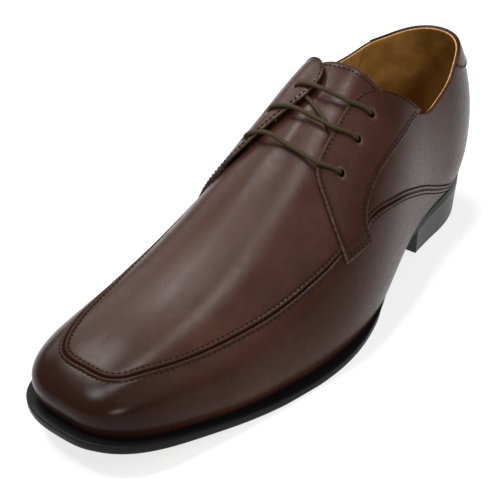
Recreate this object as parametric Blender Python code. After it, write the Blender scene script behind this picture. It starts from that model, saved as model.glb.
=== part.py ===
"""A left derby shoe of brown leather with an apron front, three eyelets and a block heel.

Sizes are in millimetres in the shoe's own axes: along (0 at the back of the heel, growing
to the toe), across (plus is the outer side of the foot) and up (0 on the floor). Blender
gets them in metres, with the toe towards -Y and the outer side towards +X.
"""

import bmesh
import bpy
import numpy as np

# Driving dimensions
MM = 0.001
CENTRE_ALONG = 151.7
CENTRE_ACROSS = 3.4
WALL = 2.0
GAP = 0.3
SOLE_THICKNESS = 5.0
SOLE_ROUND = 0.7
SOLE_BEVEL = 1.5
SEAT_BEVEL = 0.3
BEVEL_RUN = 30.0
INSOLE_THICKNESS = 2.0
INSOLE_INSET = 3.4
HEEL_BREAST = 78.0
FACING_THICKNESS = 1.4
FACING_WIDTH = 22.0
STRAP_THICKNESS = 1.0
STRAP_TOP_SHARE = 0.04
SEAM_RELIEF = 0.7
SEAM_HALF_WIDTH = 3.6
SEAM_RIDGE_SHARE = 0.6
LACE_RADIUS = 1.15
LACE_GAP = 0.6
EYELET_RADIUS = 2.1
EYELET_STEP = 0.45
INNER_TOP_SHIFT = 10.0
PUNCH_REACH = (-3.0, 3.0, 9.0)

# The last: one row for each section across the foot
SECTION_COLUMNS = (
    "along", "ridge", "outer", "inner", "feather", "widest", "crest",
    "side_power", "top_power", "tuck", "middle", "margin",
)
SECTIONS = (
    (0, 0, 33, 33, 25.0, 44.0, 128, 2.4, 2.0, 0.16, 0.0, 0.8),
    (35, 0, 33.7, 33, 24.5, 44.0, 128, 2.4, 2.0, 0.16, 0.0, 0.4),
    (75, 1, 36, 35, 21.5, 41.5, 123, 2.4, 2.0, 0.18, 1.0, -0.3),
    (110, 4, 41, 43, 16.0, 36.0, 116, 2.3, 2.1, 0.155, 7.0, -1.6),
    (145, 5, 48, 46.5, 10.5, 28.5, 99, 2.2, 2.0, 0.07, 8.0, 1.0),
    (180, 4, 51, 48, 6.8, 21.0, 78, 2.3, 2.0, 0.09, 6.0, 4.6),
    (210, 2, 48, 48, 5.0, 18.0, 60.5, 2.5, 2.0, 0.13, 3.5, 5.5),
    (240, -1, 44.5, 45, 7.5, 19.0, 49, 2.7, 2.0, 0.14, 0.4, 4.8),
    (270, -3, 37, 38.5, 12.5, 22.5, 44, 2.9, 2.1, 0.14, -2.0, 5.0),
    (303, -3, 29, 32, 19.5, 28.5, 41, 3.0, 2.2, 0.14, -3.2, 5.5),
)
TOE_START, TOE_END, TOE_POWER = 258.0, 303.0, 3.4
HEEL_START, HEEL_END, HEEL_POWER = 50.0, 0.0, 2.2
BACK_FOOT, BACK_RISE, BACK_BULGE, BACK_LEAN = 25.0, 80.0, 4.0, 1.5

# Lines drawn on the outer half of the last, from the back of the heel to the toe;
# share is the part of the half outline at which a rib of the upper crosses them
SEAM_COLUMNS = ("share", "along", "across", "up", "relief")
SEAM = (
    (0.00, 0, 0, 33, 0),
    (0.05, 7, 16, 33, 0),
    (0.10, 21, 27, 32, 0),
    (0.15, 39, 31, 29, 0),
    (0.18, 51, 32, 29.5, 1),
    (0.22, 65, 34.5, 36.5, 1),
    (0.27, 82, 38, 45, 1),
    (0.33, 101, 42, 53.5, 1),
    (0.38, 118, 45, 60, 1),
    (0.43, 134, 46.5, 63.5, 1),
    (0.47, 147, 47, 64.5, 0),
    (0.50, 157, 48, 62.5, 0),
    (0.53, 166, 48, 59, 0),
    (0.555, 175, 47, 55.5, 0),
    (0.575, 181, 46.2, 54.2, 1),
    (0.60, 189, 45.1, 51.5, 1),
    (0.65, 205, 42, 46.4, 1),
    (0.70, 221, 38.3, 43, 1),
    (0.75, 237, 33.6, 41, 1),
    (0.80, 252, 28.8, 40, 1),
    (0.85, 266, 23.5, 40.2, 1),
    (0.89, 276, 18.7, 40.4, 1),
    (0.925, 283, 14.3, 40.1, 1),
    (0.945, 286.2, 10.6, 40, 1),
    (0.965, 287.7, 6, 40, 1),
    (1.00, 288.2, -2.6, 40.2, 1),
)
OPENING_COLUMNS = ("share", "along", "across", "up", "inner_up")
OPENING = (
    (0.00, 15, 0, 104.5, 104.5),
    (0.05, 18.5, 10.5, 102.5, 98),
    (0.10, 28.5, 19.5, 98.5, 92.5),
    (0.15, 40, 25.5, 95.5, 98),
    (0.185, 49, 28, 90, 102.5),
    (0.225, 61, 30, 86.5, 105.5),
    (0.27, 76, 32.5, 85.5, 106),
    (0.31, 90, 33.5, 91, 101.5),
    (0.345, 101, 33.5, 97.5, 101),
    (0.37, 107, 34, 100, 100),
    (0.40, 114, 34.5, 99, 99),
    (0.44, 127, 35.5, 95, 95),
    (0.49, 142, 37, 88, 88),
    (0.54, 154, 38, 81, 81),
    (0.59, 162.5, 35, 79.5, 79.5),
    (0.65, 166, 28, 83, 83),
    (0.76, 166.5, 20, 86, 86),
    (0.88, 166.5, 13, 87.5, 87.5),
    (1.00, 166.5, 7, 88, 88),
)
FACING_COLUMNS = (
    "share", "front_along", "front_across", "front_up",
    "rear_along", "rear_across", "rear_up", "lift", "inner_lift", "inner_shift",
)
FACING = (
    (0.00, 114, 25, 109, 86.5, 33.5, 92, 0.6, 1.8, 4.5),
    (0.10, 121, 21, 109, 97, 35.5, 90.5, 1.0, 2.3, 4.3),
    (0.22, 131, 19.5, 106, 108, 38, 88.5, 1.4, 2.5, 3.0),
    (0.40, 144, 20.5, 99, 127, 40.5, 84, 1.5, 2.5, -1.5),
    (0.56, 156, 22, 92, 141, 42.6, 78, 1.5, 2.3, -7.0),
    (0.66, 163, 25, 87, 148, 44.5, 73.5, 1.4, 2.0, -8.5),
    (0.78, 169, 34, 77.5, 153.5, 46.8, 67.5, 0.8, 1.2, -5.5),
    (0.90, 173, 43, 65, 155, 49.5, 60.5, 0.3, 0.4, -1.5),
    (1.00, 174, 50.5, 52.5, 152.5, 51.5, 55.5, 0.0, 0.0, 0.0),
)
TONGUE_COLUMNS = ("along", "half_width")
TONGUE = (
    (110.8, 22.5),
    (115, 24.6),
    (127, 25),
    (138, 26),
    (146, 27.2),
    (153, 28),
    (158, 26.9),
    (162, 24),
    (164.5, 20),
    (166.1, 15),
)
STRAP_COLUMNS = ("share", "drop")
STRAP = ((0.00, 26), (0.05, 24), (0.10, 19), (0.13, 11), (0.148, 2))
# Share of the heel's height, inset from the sole's edge and set back from the breast
HEEL_RINGS = ((1.0, 0.3, 0.0), (0.5, 0.7, 1.2), (0.04, 1.1, 2.5), (0.0, 1.5, 2.8))
# How far the sole's lower edge is drawn in under the waist
WAIST_COLUMNS = ("along", "draw")
WAIST = ((78, 0.0), (94, 3.0), (118, 3.0), (148, 0.0))
WAIST_EDGE_SHARE = 0.7
# Name, along and across of each eyelet on the two sides, and its share of the facing's length
EYELET_COLUMNS = ("label", "along", "across", "inner_along", "inner_across", "share")
EYELETS = (
    ("upper", 125.0, 27.5, 129.5, -8.5, 0.25),
    ("middle", 138.5, 29.2, 141.5, -15.5, 0.43),
    ("lower", 155.0, 31.6, 155.5, -20.0, 0.63),
)
# How far in from its eyelet and forwards a lace bar passes, and its rise there over the facing
LACE_KNOTS = ((1.2, 0.6, 0.3), (3.0, 1.5, 0.3), (5.5, 2.9, 0.4), (9.2, 4.8, 0.3))
# Share of a knot's way inwards and forwards that a bar takes on the outer and the inner side
INWARD_SHARE = {1: 1.0, -1: 1.6}
FORWARD_SHARE = {1: 1.0, -1: 0.3}
STRAIGHT_STEPS = (0.33, 0.67)
# Along and across of the slanting lace's ends
SLANT_START = (135.6, 0.8)
SLANT_END = (144.2, 18.8)

# How finely the pieces are cut
HALF_COLUMNS = 46
WALL_ROWS = 4
QUARTER_ROWS = 5
PLAN_SAMPLES = 900
HEEL_POINTS = 16
FACING_GRID = (19, 9)
TONGUE_GRID = (20, 11)
STRAP_GRID = (21, 5)
TUBE_SIDES = 8
LACE_STEPS = 19
SLANT_STEPS = 7
SMOOTH_ANGLE = 40.0

# Search along a ray to the last's surface, and the step its slope is read over
RAY_REACH = 12.0
RAY_HALVINGS = 44
SLOPE_STEP = 0.02
AXIS_STOP = 5.0

# Colour and roughness
BROWN = ((0.075, 0.042, 0.032, 1.0), 0.42)
DARK_BROWN = ((0.066, 0.036, 0.027, 1.0), 0.44)
BLACK = ((0.010, 0.010, 0.011, 1.0), 0.33)
TAN = ((0.33, 0.19, 0.08, 1.0), 0.6)
OLIVE = ((0.065, 0.052, 0.030, 1.0), 0.7)


def spline(knots, values):
    """Natural cubic spline through the values at the knots, held flat outside them."""
    knots = np.asarray(knots, float)
    values = np.asarray(values, float)
    count = len(knots)
    step = np.diff(knots)
    matrix = np.eye(count)
    right = np.zeros(count)
    for row in range(1, count - 1):
        matrix[row, row - 1] = step[row - 1]
        matrix[row, row] = 2 * (step[row - 1] + step[row])
        matrix[row, row + 1] = step[row]
        slopes = np.diff(values[row - 1:row + 2]) / step[row - 1:row + 1]
        right[row] = 6 * (slopes[1] - slopes[0])
    bend = np.linalg.solve(matrix, right)

    def curve(at):
        at = np.clip(np.asarray(at, float), knots[0], knots[-1])
        left = np.clip(np.searchsorted(knots, at) - 1, 0, count - 2)
        before = at - knots[left]
        after = knots[left + 1] - at
        width = step[left]
        cubic = (bend[left] * after**3 + bend[left + 1] * before**3) / (6 * width)
        line = (values[left] / width - bend[left] * width / 6) * after
        line += (values[left + 1] / width - bend[left + 1] * width / 6) * before
        return cubic + line

    return curve


def table(columns, rows):
    """A table's columns as arrays by name."""
    return {name: np.array([row[at] for row in rows]) for at, name in enumerate(columns)}


SECTION_TABLE = table(SECTION_COLUMNS, SECTIONS)
LAST = {
    name: spline(SECTION_TABLE["along"], SECTION_TABLE[name])
    for name in SECTION_COLUMNS[1:]
}


def back_curve(up):
    """How far the back of the heel stands behind HEEL_END at a height."""
    rise = np.clip((up - BACK_FOOT) / BACK_RISE, 0, 1)
    return BACK_BULGE * np.sin(np.pi * rise) - BACK_LEAN * rise**2


def toe_share(along):
    """0 before the toe, 1 at its tip."""
    return np.maximum(along - TOE_START, 0) / (TOE_END - TOE_START)


def heel_share(along, up):
    """0 before the heel's round, 1 at its back."""
    return np.maximum(HEEL_START - along, 0) / (HEEL_START - HEEL_END + back_curve(up))


def level(points):
    """The last's surface as a function: below 0 inside, 0 on the leather's outer face.

    A section is a superellipse about its widest height, and the toe and the heel
    close it by adding their own shares.
    """
    across, along, up = points[..., 0], points[..., 1], points[..., 2]
    widest, feather = LAST["widest"](along), LAST["feather"](along)
    side = across - LAST["ridge"](along)
    half = np.where(side > 0, LAST["outer"](along), LAST["inner"](along))
    rise = np.maximum(up - widest, 0) / (LAST["crest"](along) - widest)
    drop = np.maximum(widest - up, 0) / (widest - feather)
    value = (np.abs(side) / half) ** LAST["side_power"](along)
    value += rise ** LAST["top_power"](along) + LAST["tuck"](along) * drop**2
    value += toe_share(along) ** TOE_POWER + heel_share(along, up) ** HEEL_POWER
    return value - 1


def axis_points(along):
    """Points on the axis inside the last that the rays to its surface start from."""
    held = np.clip(along, HEEL_START, TOE_START - AXIS_STOP)
    return np.stack([LAST["ridge"](held), held, LAST["widest"](held)], -1)


def on_last(guides):
    """Guide points moved along rays from the axis on to the last's surface."""
    start = axis_points(guides[..., 1])
    ray = guides - start
    near = np.zeros(ray.shape[:-1])
    far = np.full(ray.shape[:-1], RAY_REACH)
    for _ in range(RAY_HALVINGS):
        middle = (near + far) / 2
        inside = level(start + ray * middle[..., None]) < 0
        near = np.where(inside, middle, near)
        far = np.where(inside, far, middle)
    return start + ray * near[..., None]


def on_top(across, along):
    """Points of the last's upper face over places in plan."""
    side = across - LAST["ridge"](along)
    half = np.where(side > 0, LAST["outer"](along), LAST["inner"](along))
    room = 1 - (np.abs(side) / half) ** LAST["side_power"](along) - toe_share(along) ** TOE_POWER
    widest = LAST["widest"](along)
    rise = np.clip(room, 0, None) ** (1 / LAST["top_power"](along))
    return np.stack([across, along, widest + (LAST["crest"](along) - widest) * rise], -1)


def pushed(points, distance):
    """Points moved off the last's surface along its normals, outwards for plus."""
    slope = np.stack([level(points + step) - level(points - step)
                      for step in SLOPE_STEP * np.eye(3)], -1)
    normal = slope / np.linalg.norm(slope, axis=-1, keepdims=True)
    return points + normal * np.asarray(distance)[..., None]


def mirrored(points):
    """Points of the outer half carried over the pattern's middle line to the inner half."""
    other = np.array(points, float)
    other[..., 0] = 2 * LAST["middle"](other[..., 1]) - other[..., 0]
    return other


def even_points(line, count):
    """A line of points read again at even distances, count steps long."""
    steps = np.linalg.norm(np.diff(line, axis=0), axis=1)
    travelled = np.concatenate([[0], np.cumsum(steps)])
    at = np.linspace(0, travelled[-1], count + 1)
    return np.stack([np.interp(at, travelled, line[:, axis]) for axis in range(line.shape[1])], -1)


def feather_half(side, count):
    """The feather line of one side in plan, from the heel's back to the toe's middle."""
    closing = 1 - LAST["tuck"](0.0)
    heel = HEEL_START - (HEEL_START - HEEL_END) * closing ** (1 / HEEL_POWER)
    toe = TOE_START + (TOE_END - TOE_START) * (1 - LAST["tuck"](TOE_END)) ** (1 / TOE_POWER)
    turn = np.linspace(0, np.pi, PLAN_SAMPLES)
    along = heel + (toe - heel) * (1 - np.cos(turn)) / 2
    up = LAST["feather"](along)
    room = 1 - LAST["tuck"](along) - toe_share(along) ** TOE_POWER
    room -= heel_share(along, up) ** HEEL_POWER
    half = LAST["outer"](along) if side > 0 else LAST["inner"](along)
    width = half * np.clip(room, 0, None) ** (1 / LAST["side_power"](along))
    across = LAST["ridge"](along) + side * width
    return even_points(np.stack([across, along], -1), count)


def joined_halves(outer, inner):
    """One closed ring from two halves that share their first and last points."""
    return np.concatenate([outer, inner[-2:0:-1]])


def plan_ring(outset, count=HALF_COLUMNS):
    """The feather line moved outwards in plan, as a closed ring of along and across."""
    ring = joined_halves(feather_half(1, count), feather_half(-1, count))
    tangent = np.roll(ring, -1, 0) - np.roll(ring, 1, 0)
    tangent /= np.linalg.norm(tangent, axis=1, keepdims=True)
    outward = np.stack([tangent[:, 1], -tangent[:, 0]], -1)
    return ring + outward * np.asarray(outset(ring[:, 1]))[:, None]


def raised(ring, up):
    """A plan ring lifted to a height that depends on the place along the shoe."""
    return np.concatenate([ring, up(ring[:, 1])[:, None]], 1)


def sole_top(along):
    """Height of the outsole's upper face."""
    return LAST["feather"](along) - GAP


def sole_bottom(along):
    """Height of the outsole's lower face, flat on the floor under the ball."""
    return np.maximum(sole_top(along) - SOLE_THICKNESS, 0)


def ring_line(rows, columns, shares):
    """A closed line on the last through a table's rows and their mirror image."""
    held = table(columns, rows)
    outer = np.stack([held["across"], held["along"], held["up"]], -1)
    inner = mirrored(outer)
    if "inner_up" in held:
        inner[:, 2] = held["inner_up"]
    outer[[0, -1], 0] = LAST["middle"](outer[[0, -1], 1])
    knots = np.concatenate([held["share"], 2 - held["share"][-2::-1]])
    points = np.concatenate([outer, inner[-2::-1]])
    # A few rows repeated at each end make the closed line smooth there
    knots = np.concatenate([knots[-4:-1] - 2, knots, knots[1:4] + 2])
    points = np.concatenate([points[-4:-1], points, points[1:4]])
    guide = np.stack([spline(knots, points[:, axis])(shares) for axis in range(3)], -1)
    return on_last(guide)


def seam_relief(shares):
    """How much of the raised seam there is round the ring, 0 to 1."""
    held = table(SEAM_COLUMNS, SEAM)
    folded = np.minimum(shares, 2 - shares)
    return np.interp(folded, held["share"], held["relief"])


def between(first, second, shares):
    """Rows of guide points from one line to another, drawn on to the last."""
    return [on_last(first + (second - first) * share) for share in shares]


def upper_surfaces():
    """Outer and inner rows of the upper, from the feather line to the opening."""
    shares = np.arange(2 * HALF_COLUMNS) / HALF_COLUMNS
    feather = raised(plan_ring(np.zeros_like), LAST["feather"])
    seam = ring_line(SEAM, SEAM_COLUMNS, shares)
    opening = ring_line(OPENING, OPENING_COLUMNS, shares)

    def beside(target, distance):
        ray = target - seam
        ray /= np.linalg.norm(ray, axis=1, keepdims=True)
        return on_last(seam + ray * distance)

    relief = SEAM_RELIEF * seam_relief(shares)
    edge_below = beside(feather, SEAM_HALF_WIDTH)
    edge_above = beside(opening, SEAM_HALF_WIDTH)
    ridge_below = pushed(beside(feather, SEAM_HALF_WIDTH * SEAM_RIDGE_SHARE), relief)
    ridge_above = pushed(beside(opening, SEAM_HALF_WIDTH * SEAM_RIDGE_SHARE), relief)
    lower = between(feather, edge_below, np.arange(1, WALL_ROWS) / WALL_ROWS)
    higher = between(edge_above, opening, np.arange(1, QUARTER_ROWS) / QUARTER_ROWS)
    outer = [feather, *lower, edge_below, ridge_below, pushed(seam, -relief / 2), ridge_above]
    outer += [edge_above, *higher, opening]
    inner = [feather, *lower, seam, *higher, opening]
    return outer, [pushed(row, np.full(len(row), -WALL)) for row in inner]


def quads_between(first, second, count, closed):
    """Faces between two rows of points whose numbers start at first and second."""
    faces = []
    for at in range(count if closed else count - 1):
        after = (at + 1) % count
        faces.append((first + at, first + after, second + after, second + at))
    return faces


def stacked(rows, closed):
    """Faces that join each row to the next."""
    faces = []
    count = len(rows[0])
    for number in range(len(rows) - 1):
        faces += quads_between(number * count, (number + 1) * count, count, closed)
    return faces


def ladder_cap(first, count):
    """Faces across a ring whose halves face each other, from rung to rung."""
    half = count // 2
    faces = [(first, first + 1, first + count - 1)]
    for rung in range(1, half - 1):
        faces.append((first + rung, first + rung + 1, first + count - rung - 1, first + count - rung))
    if count % 2:
        faces.append((first + half - 1, first + half, first + half + 1, first + half + 2))
    else:
        faces.append((first + half - 1, first + half, first + half + 1))
    return faces


def in_metres(points):
    """Points in the shoe's axes as Blender's coordinates."""
    across, along, up = points[:, 0], points[:, 1], points[:, 2]
    return np.stack([across - CENTRE_ACROSS, CENTRE_ALONG - along, up], -1) * MM


def material_for(name, finish):
    """A piece's own material from its colour and roughness."""
    colour, roughness = finish
    material = bpy.data.materials.new(name + "_finish")
    material.use_nodes = True
    shader = material.node_tree.nodes["Principled BSDF"]
    shader.inputs["Base Color"].default_value = colour
    shader.inputs["Roughness"].default_value = roughness
    shader.inputs["Metallic"].default_value = 0.0
    material.diffuse_color = colour
    return material


def add_piece(name, points, faces, finish):
    """A closed mesh as a named object with its faces pointing outwards."""
    mesh = bpy.data.meshes.new(name)
    mesh.from_pydata(in_metres(points).tolist(), [], faces)
    work = bmesh.new()
    work.from_mesh(mesh)
    bmesh.ops.recalc_face_normals(work, faces=work.faces)
    work.to_mesh(mesh)
    work.free()
    mesh.shade_smooth()
    mesh.set_sharp_from_angle(angle=np.radians(SMOOTH_ANGLE))
    mesh.materials.append(material_for(name, finish))
    piece = bpy.data.objects.new(name, mesh)
    bpy.context.scene.collection.objects.link(piece)
    return piece


def add_slab(name, rings, finish):
    """A solid from rings of equal length, closed by a cap at each end."""
    count = len(rings[0])
    faces = stacked(rings, True)
    faces += ladder_cap(0, count) + ladder_cap((len(rings) - 1) * count, count)
    return add_piece(name, np.concatenate(rings), faces, finish)


def add_sheet(name, outer, inner, finish):
    """A sheet of leather from rows of its outer and inner face, closed along all four edges."""
    count = len(outer[0])
    offset = count * len(outer)
    last = (len(outer) - 1) * count
    faces = stacked(outer, False)
    faces += [tuple(offset + corner for corner in face) for face in faces]
    faces += quads_between(0, offset, count, False)
    faces += quads_between(last, offset + last, count, False)
    for row in range(len(outer) - 1):
        for edge in (row * count, row * count + count - 1):
            faces.append((edge, edge + count, offset + edge + count, offset + edge))
    return add_piece(name, np.concatenate([*outer, *inner]), faces, finish)


def add_tube(name, path, radius, finish):
    """A round cord along a path of points, with flat ends."""
    tangent = np.gradient(path, axis=0)
    tangent /= np.linalg.norm(tangent, axis=1, keepdims=True)
    side = np.cross(tangent, (0.0, 1.0, 0.0))
    side /= np.linalg.norm(side, axis=1, keepdims=True)
    lift = np.cross(side, tangent)
    turn = np.arange(TUBE_SIDES) * 2 * np.pi / TUBE_SIDES
    rings = path[:, None] + radius * (
        np.cos(turn)[None, :, None] * side[:, None] + np.sin(turn)[None, :, None] * lift[:, None]
    )
    faces = stacked(rings, True)
    end = (len(path) - 1) * TUBE_SIDES
    faces += [tuple(range(TUBE_SIDES)), tuple(range(end, end + TUBE_SIDES))]
    return add_piece(name, rings.reshape(-1, 3), faces, finish)


def add_upper():
    """The hollow upper: one wall, open at the collar, at the throat and underneath."""
    outer, inner = upper_surfaces()
    count = len(outer[0])
    offset = len(outer) * count
    faces = stacked(outer, True)
    faces += [tuple(offset + corner for corner in face) for face in stacked(inner, True)]
    faces += quads_between(0, offset, count, True)
    faces += quads_between(offset - count, offset + (len(inner) - 1) * count, count, True)
    add_piece("upper", np.concatenate([*outer, *inner]), faces, BROWN)


def add_outsole():
    """The sole: a ledge round the upper, an upright edge and a bevel underneath."""
    edge = LAST["margin"]
    waist = table(WAIST_COLUMNS, WAIST)

    def bevel(along):
        return np.interp(along, (HEEL_BREAST, HEEL_BREAST + BEVEL_RUN), (SEAT_BEVEL, SOLE_BEVEL))

    def drawn_in(along):
        return np.interp(along, waist["along"], waist["draw"])

    def shoulder(along):
        return sole_top(along) - SOLE_ROUND

    def low_edge(along):
        return sole_bottom(along) + SOLE_BEVEL

    rings = [
        raised(plan_ring(lambda along: edge(along) - SOLE_ROUND), sole_top),
        raised(plan_ring(edge), shoulder),
        raised(plan_ring(lambda along: edge(along) - drawn_in(along) * WAIST_EDGE_SHARE), low_edge),
        raised(plan_ring(lambda along: edge(along) - drawn_in(along) - bevel(along)), sole_bottom),
    ]
    add_slab("outsole", rings, BLACK)


def heel_ring(inset, up, breast):
    """The outsole's edge behind the heel breast, drawn in by an inset, as a ring."""
    ring = plan_ring(lambda along: LAST["margin"](along) - inset)
    halves = []
    for half in (ring[:HALF_COLUMNS + 1], np.roll(ring, -1, 0)[:HALF_COLUMNS - 2:-1]):
        kept = half[half[:, 1] < breast]
        after = half[len(kept)]
        share = (breast - kept[-1, 1]) / (after[1] - kept[-1, 1])
        halves.append(even_points(np.vstack([kept, kept[-1] + (after - kept[-1]) * share]), HEEL_POINTS))
    return raised(np.concatenate([halves[0], halves[1][:0:-1]]), up)


def add_heel():
    """The block heel under the heel seat, flat on the floor."""
    def under_seat(height_share):
        return lambda along: (sole_bottom(along) - GAP) * height_share

    rings = [heel_ring(inset, under_seat(height_share), HEEL_BREAST - set_back)
             for height_share, inset, set_back in HEEL_RINGS]
    add_slab("heel", rings, BLACK)


def add_insole():
    """The footbed inside the upper, on the outsole."""
    def top(along):
        return LAST["feather"](along) + INSOLE_THICKNESS

    def inset(along):
        return np.full(len(along), -INSOLE_INSET)

    rings = [raised(plan_ring(inset), LAST["feather"]), raised(plan_ring(inset), top)]
    add_slab("insole", rings, TAN)


def add_tongue():
    """The vamp's tongue, in the same layer as the upper, from the throat to above the facings."""
    held = table(TONGUE_COLUMNS, TONGUE)
    row_count, column_count = TONGUE_GRID
    along = np.linspace(held["along"][0], held["along"][-1], row_count)
    half = spline(held["along"], held["half_width"])(along)
    shares = np.linspace(-1, 1, column_count)
    outer = [on_top(LAST["middle"](place) + width * shares, np.full(column_count, place))
             for place, width in zip(along, half)]
    inner = [pushed(row, np.full(len(row), -WALL)) for row in outer]
    add_sheet("tongue", outer, inner, DARK_BROWN)


def facing_rows(side, share_count, across_count):
    """Points of a facing on the last, row by row from its top to its tip, and its lift."""
    held = table(FACING_COLUMNS, FACING)
    at = np.linspace(0, 1, share_count)
    curve = {name: spline(held["share"], held[name])(at) for name in FACING_COLUMNS[1:]}
    front = np.stack([curve["front_across"], curve["front_along"], curve["front_up"]], -1)
    rear = np.stack([curve["rear_across"], curve["rear_along"], curve["rear_up"]], -1)
    step = np.linspace(0, 1, across_count)
    guides = front[:, None] + (rear - front)[:, None] * step[None, :, None]
    if side < 0:
        guides = mirrored(guides)
        guides[..., 0] += curve["inner_shift"][:, None] * (1 - step[None, :])
        guides[..., 1] += INNER_TOP_SHIFT * (1 - at[:, None]) ** 2 * step[None, :]
    return on_last(guides), GAP + facing_lift(side, at[:, None], step[None, :])


def facing_lift(side, share, step):
    """How far a facing stands off the last, from its free front edge to its stitched rear edge.

    The outer facing lies close and only its edge stands up; the inner one stands off in a bow.
    """
    held = table(FACING_COLUMNS, FACING)
    if side > 0:
        return np.interp(share, held["share"], held["lift"]) * (1 - step) ** 2
    return np.interp(share, held["share"], held["inner_lift"]) * (1 - step**3)


def over_last(along, across, height):
    """A point over a place in plan, at a height above the last."""
    return pushed(on_top(np.array([across]), np.array([along])), np.array([height]))[0]


def eyelets(side):
    """Label, along, across and share of each eyelet on one side, from the top down."""
    held = table(EYELET_COLUMNS, EYELETS)
    prefix = "" if side > 0 else "inner_"
    columns = [held[name] for name in ("label", prefix + "along", prefix + "across", "share")]
    return [(str(label), along, across, share) for label, along, across, share in zip(*columns)]


def add_punch(name, along, across):
    """A round cutter through a facing at an eyelet."""
    path = np.stack([over_last(along, across, height) for height in PUNCH_REACH])
    punch = add_tube(name, path, EYELET_RADIUS, OLIVE)
    punch.hide_render = True
    punch.display_type = "WIRE"
    return punch


def add_facing(name, side):
    """An eyelet facing over the quarter, free along the throat, with three punched eyelets."""
    surface, lift = facing_rows(side, *FACING_GRID)
    inner = [pushed(row, height) for row, height in zip(surface, lift)]
    outer = [pushed(row, height + FACING_THICKNESS) for row, height in zip(surface, lift)]
    facing = add_sheet(name, outer, inner, BROWN)
    for label, along, across, _ in eyelets(side):
        cut = facing.modifiers.new(label + "_eyelet", "BOOLEAN")
        cut.operation = "DIFFERENCE"
        cut.object = add_punch(name + "_" + label + "_punch", along, across)


def add_back_strap():
    """The strap over the top of the back seam, running out at the collar on both sides."""
    held = table(STRAP_COLUMNS, STRAP)
    column_count, row_count = STRAP_GRID
    shares = np.linspace(-held["share"][-1], held["share"][-1], column_count)
    top = ring_line(OPENING, OPENING_COLUMNS, np.mod(shares, 2))
    bottom = np.array(top)
    bottom[:, 2] -= spline(held["share"], held["drop"])(np.abs(shares))
    steps = np.linspace(STRAP_TOP_SHARE, 1, row_count)
    surface = [top + (bottom - top) * step for step in steps]
    surface = [on_last(row) for row in surface]
    inner = [pushed(row, np.full(len(row), GAP)) for row in surface]
    outer = [pushed(row, np.full(len(row), GAP + STRAP_THICKNESS)) for row in surface]
    add_sheet("back_strap", outer, inner, DARK_BROWN)


def lace_end(side, along, across, share):
    """Points of a lace bar from its eyelet, inwards and forwards over the facing to its edge."""
    def lying(step):
        return GAP + facing_lift(side, share, step) + FACING_THICKNESS + LACE_GAP

    end = [over_last(along, across, lying(EYELET_STEP))]
    for inward, forward, rise in LACE_KNOTS:
        reach = inward * INWARD_SHARE[side]
        height = lying(EYELET_STEP - reach / FACING_WIDTH) + LACE_RADIUS + rise
        end.append(over_last(along + forward * FORWARD_SHARE[side], across - side * reach, height))
    return end


def add_lace_bar(number):
    """A bar of lace over both facings, straight between their edges, its ends at the eyelets."""
    outer, inner = (eyelets(side)[number] for side in (1, -1))
    first, last = lace_end(1, *outer[1:]), lace_end(-1, *inner[1:])
    straight = [first[-1] + (last[-1] - first[-1]) * step for step in STRAIGHT_STEPS]
    knots = np.array([*first, *straight, *last[::-1]])
    travelled = np.concatenate([[0], np.cumsum(np.linalg.norm(np.diff(knots, axis=0), axis=1))])
    at = np.linspace(0, travelled[-1], LACE_STEPS)
    path = np.stack([spline(travelled, knots[:, axis])(at) for axis in range(3)], -1)
    add_tube("lace_bar_" + outer[0], path, LACE_RADIUS, OLIVE)


def add_lace_slant():
    """The slanting run of lace that lies on the tongue under the middle bar."""
    resting = GAP + LACE_RADIUS
    path = []
    for step in np.linspace(0, 1, SLANT_STEPS):
        along, across = (a + (b - a) * step for a, b in zip(SLANT_START, SLANT_END))
        path.append(over_last(along, across, resting))
    add_tube("lace_slant", np.array(path), LACE_RADIUS, OLIVE)


def main():
    """Build every piece of the shoe."""
    for old in list(bpy.data.objects):
        bpy.data.objects.remove(old)
    add_outsole()
    add_heel()
    add_upper()
    add_tongue()
    add_insole()
    add_facing("facing_outer", 1)
    add_facing("facing_inner", -1)
    add_back_strap()
    for number in range(len(EYELETS)):
        add_lace_bar(number)
    add_lace_slant()


main()
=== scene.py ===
"""Dressed model of a left derby shoe in brown leather, with an apron front and three eyelets.

Shapes are worked out in millimetres in the shoe's own axes: across (plus is the outer side
of the foot), along (0 at the back of the heel, growing to the toe) and up (0 on the floor).
A mesh gets them in metres, with the toe towards -Y and the outer side towards +X.
"""

import logging
from collections.abc import Sequence
from dataclasses import dataclass, field
from enum import Enum

import bmesh
import bpy
import numpy as np
import numpy.typing as npt
from mathutils import Matrix


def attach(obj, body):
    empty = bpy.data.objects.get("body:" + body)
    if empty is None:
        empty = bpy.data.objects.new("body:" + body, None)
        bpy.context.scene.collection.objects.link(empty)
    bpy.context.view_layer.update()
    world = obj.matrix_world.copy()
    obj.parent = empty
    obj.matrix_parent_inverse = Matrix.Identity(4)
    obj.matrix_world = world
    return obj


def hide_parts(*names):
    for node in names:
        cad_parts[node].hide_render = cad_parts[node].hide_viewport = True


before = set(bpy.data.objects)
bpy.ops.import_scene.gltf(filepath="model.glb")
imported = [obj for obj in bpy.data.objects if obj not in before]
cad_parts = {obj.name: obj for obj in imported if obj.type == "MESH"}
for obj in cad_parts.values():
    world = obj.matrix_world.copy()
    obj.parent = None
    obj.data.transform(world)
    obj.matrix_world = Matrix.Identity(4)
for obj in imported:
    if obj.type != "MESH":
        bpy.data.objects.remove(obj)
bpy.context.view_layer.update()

LOG = logging.getLogger("shoe")
Array = npt.NDArray[np.float64]
Numbers = npt.NDArray[np.int64]
Colour = tuple[float, float, float]
Rows = tuple[tuple[float, ...], ...]

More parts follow.
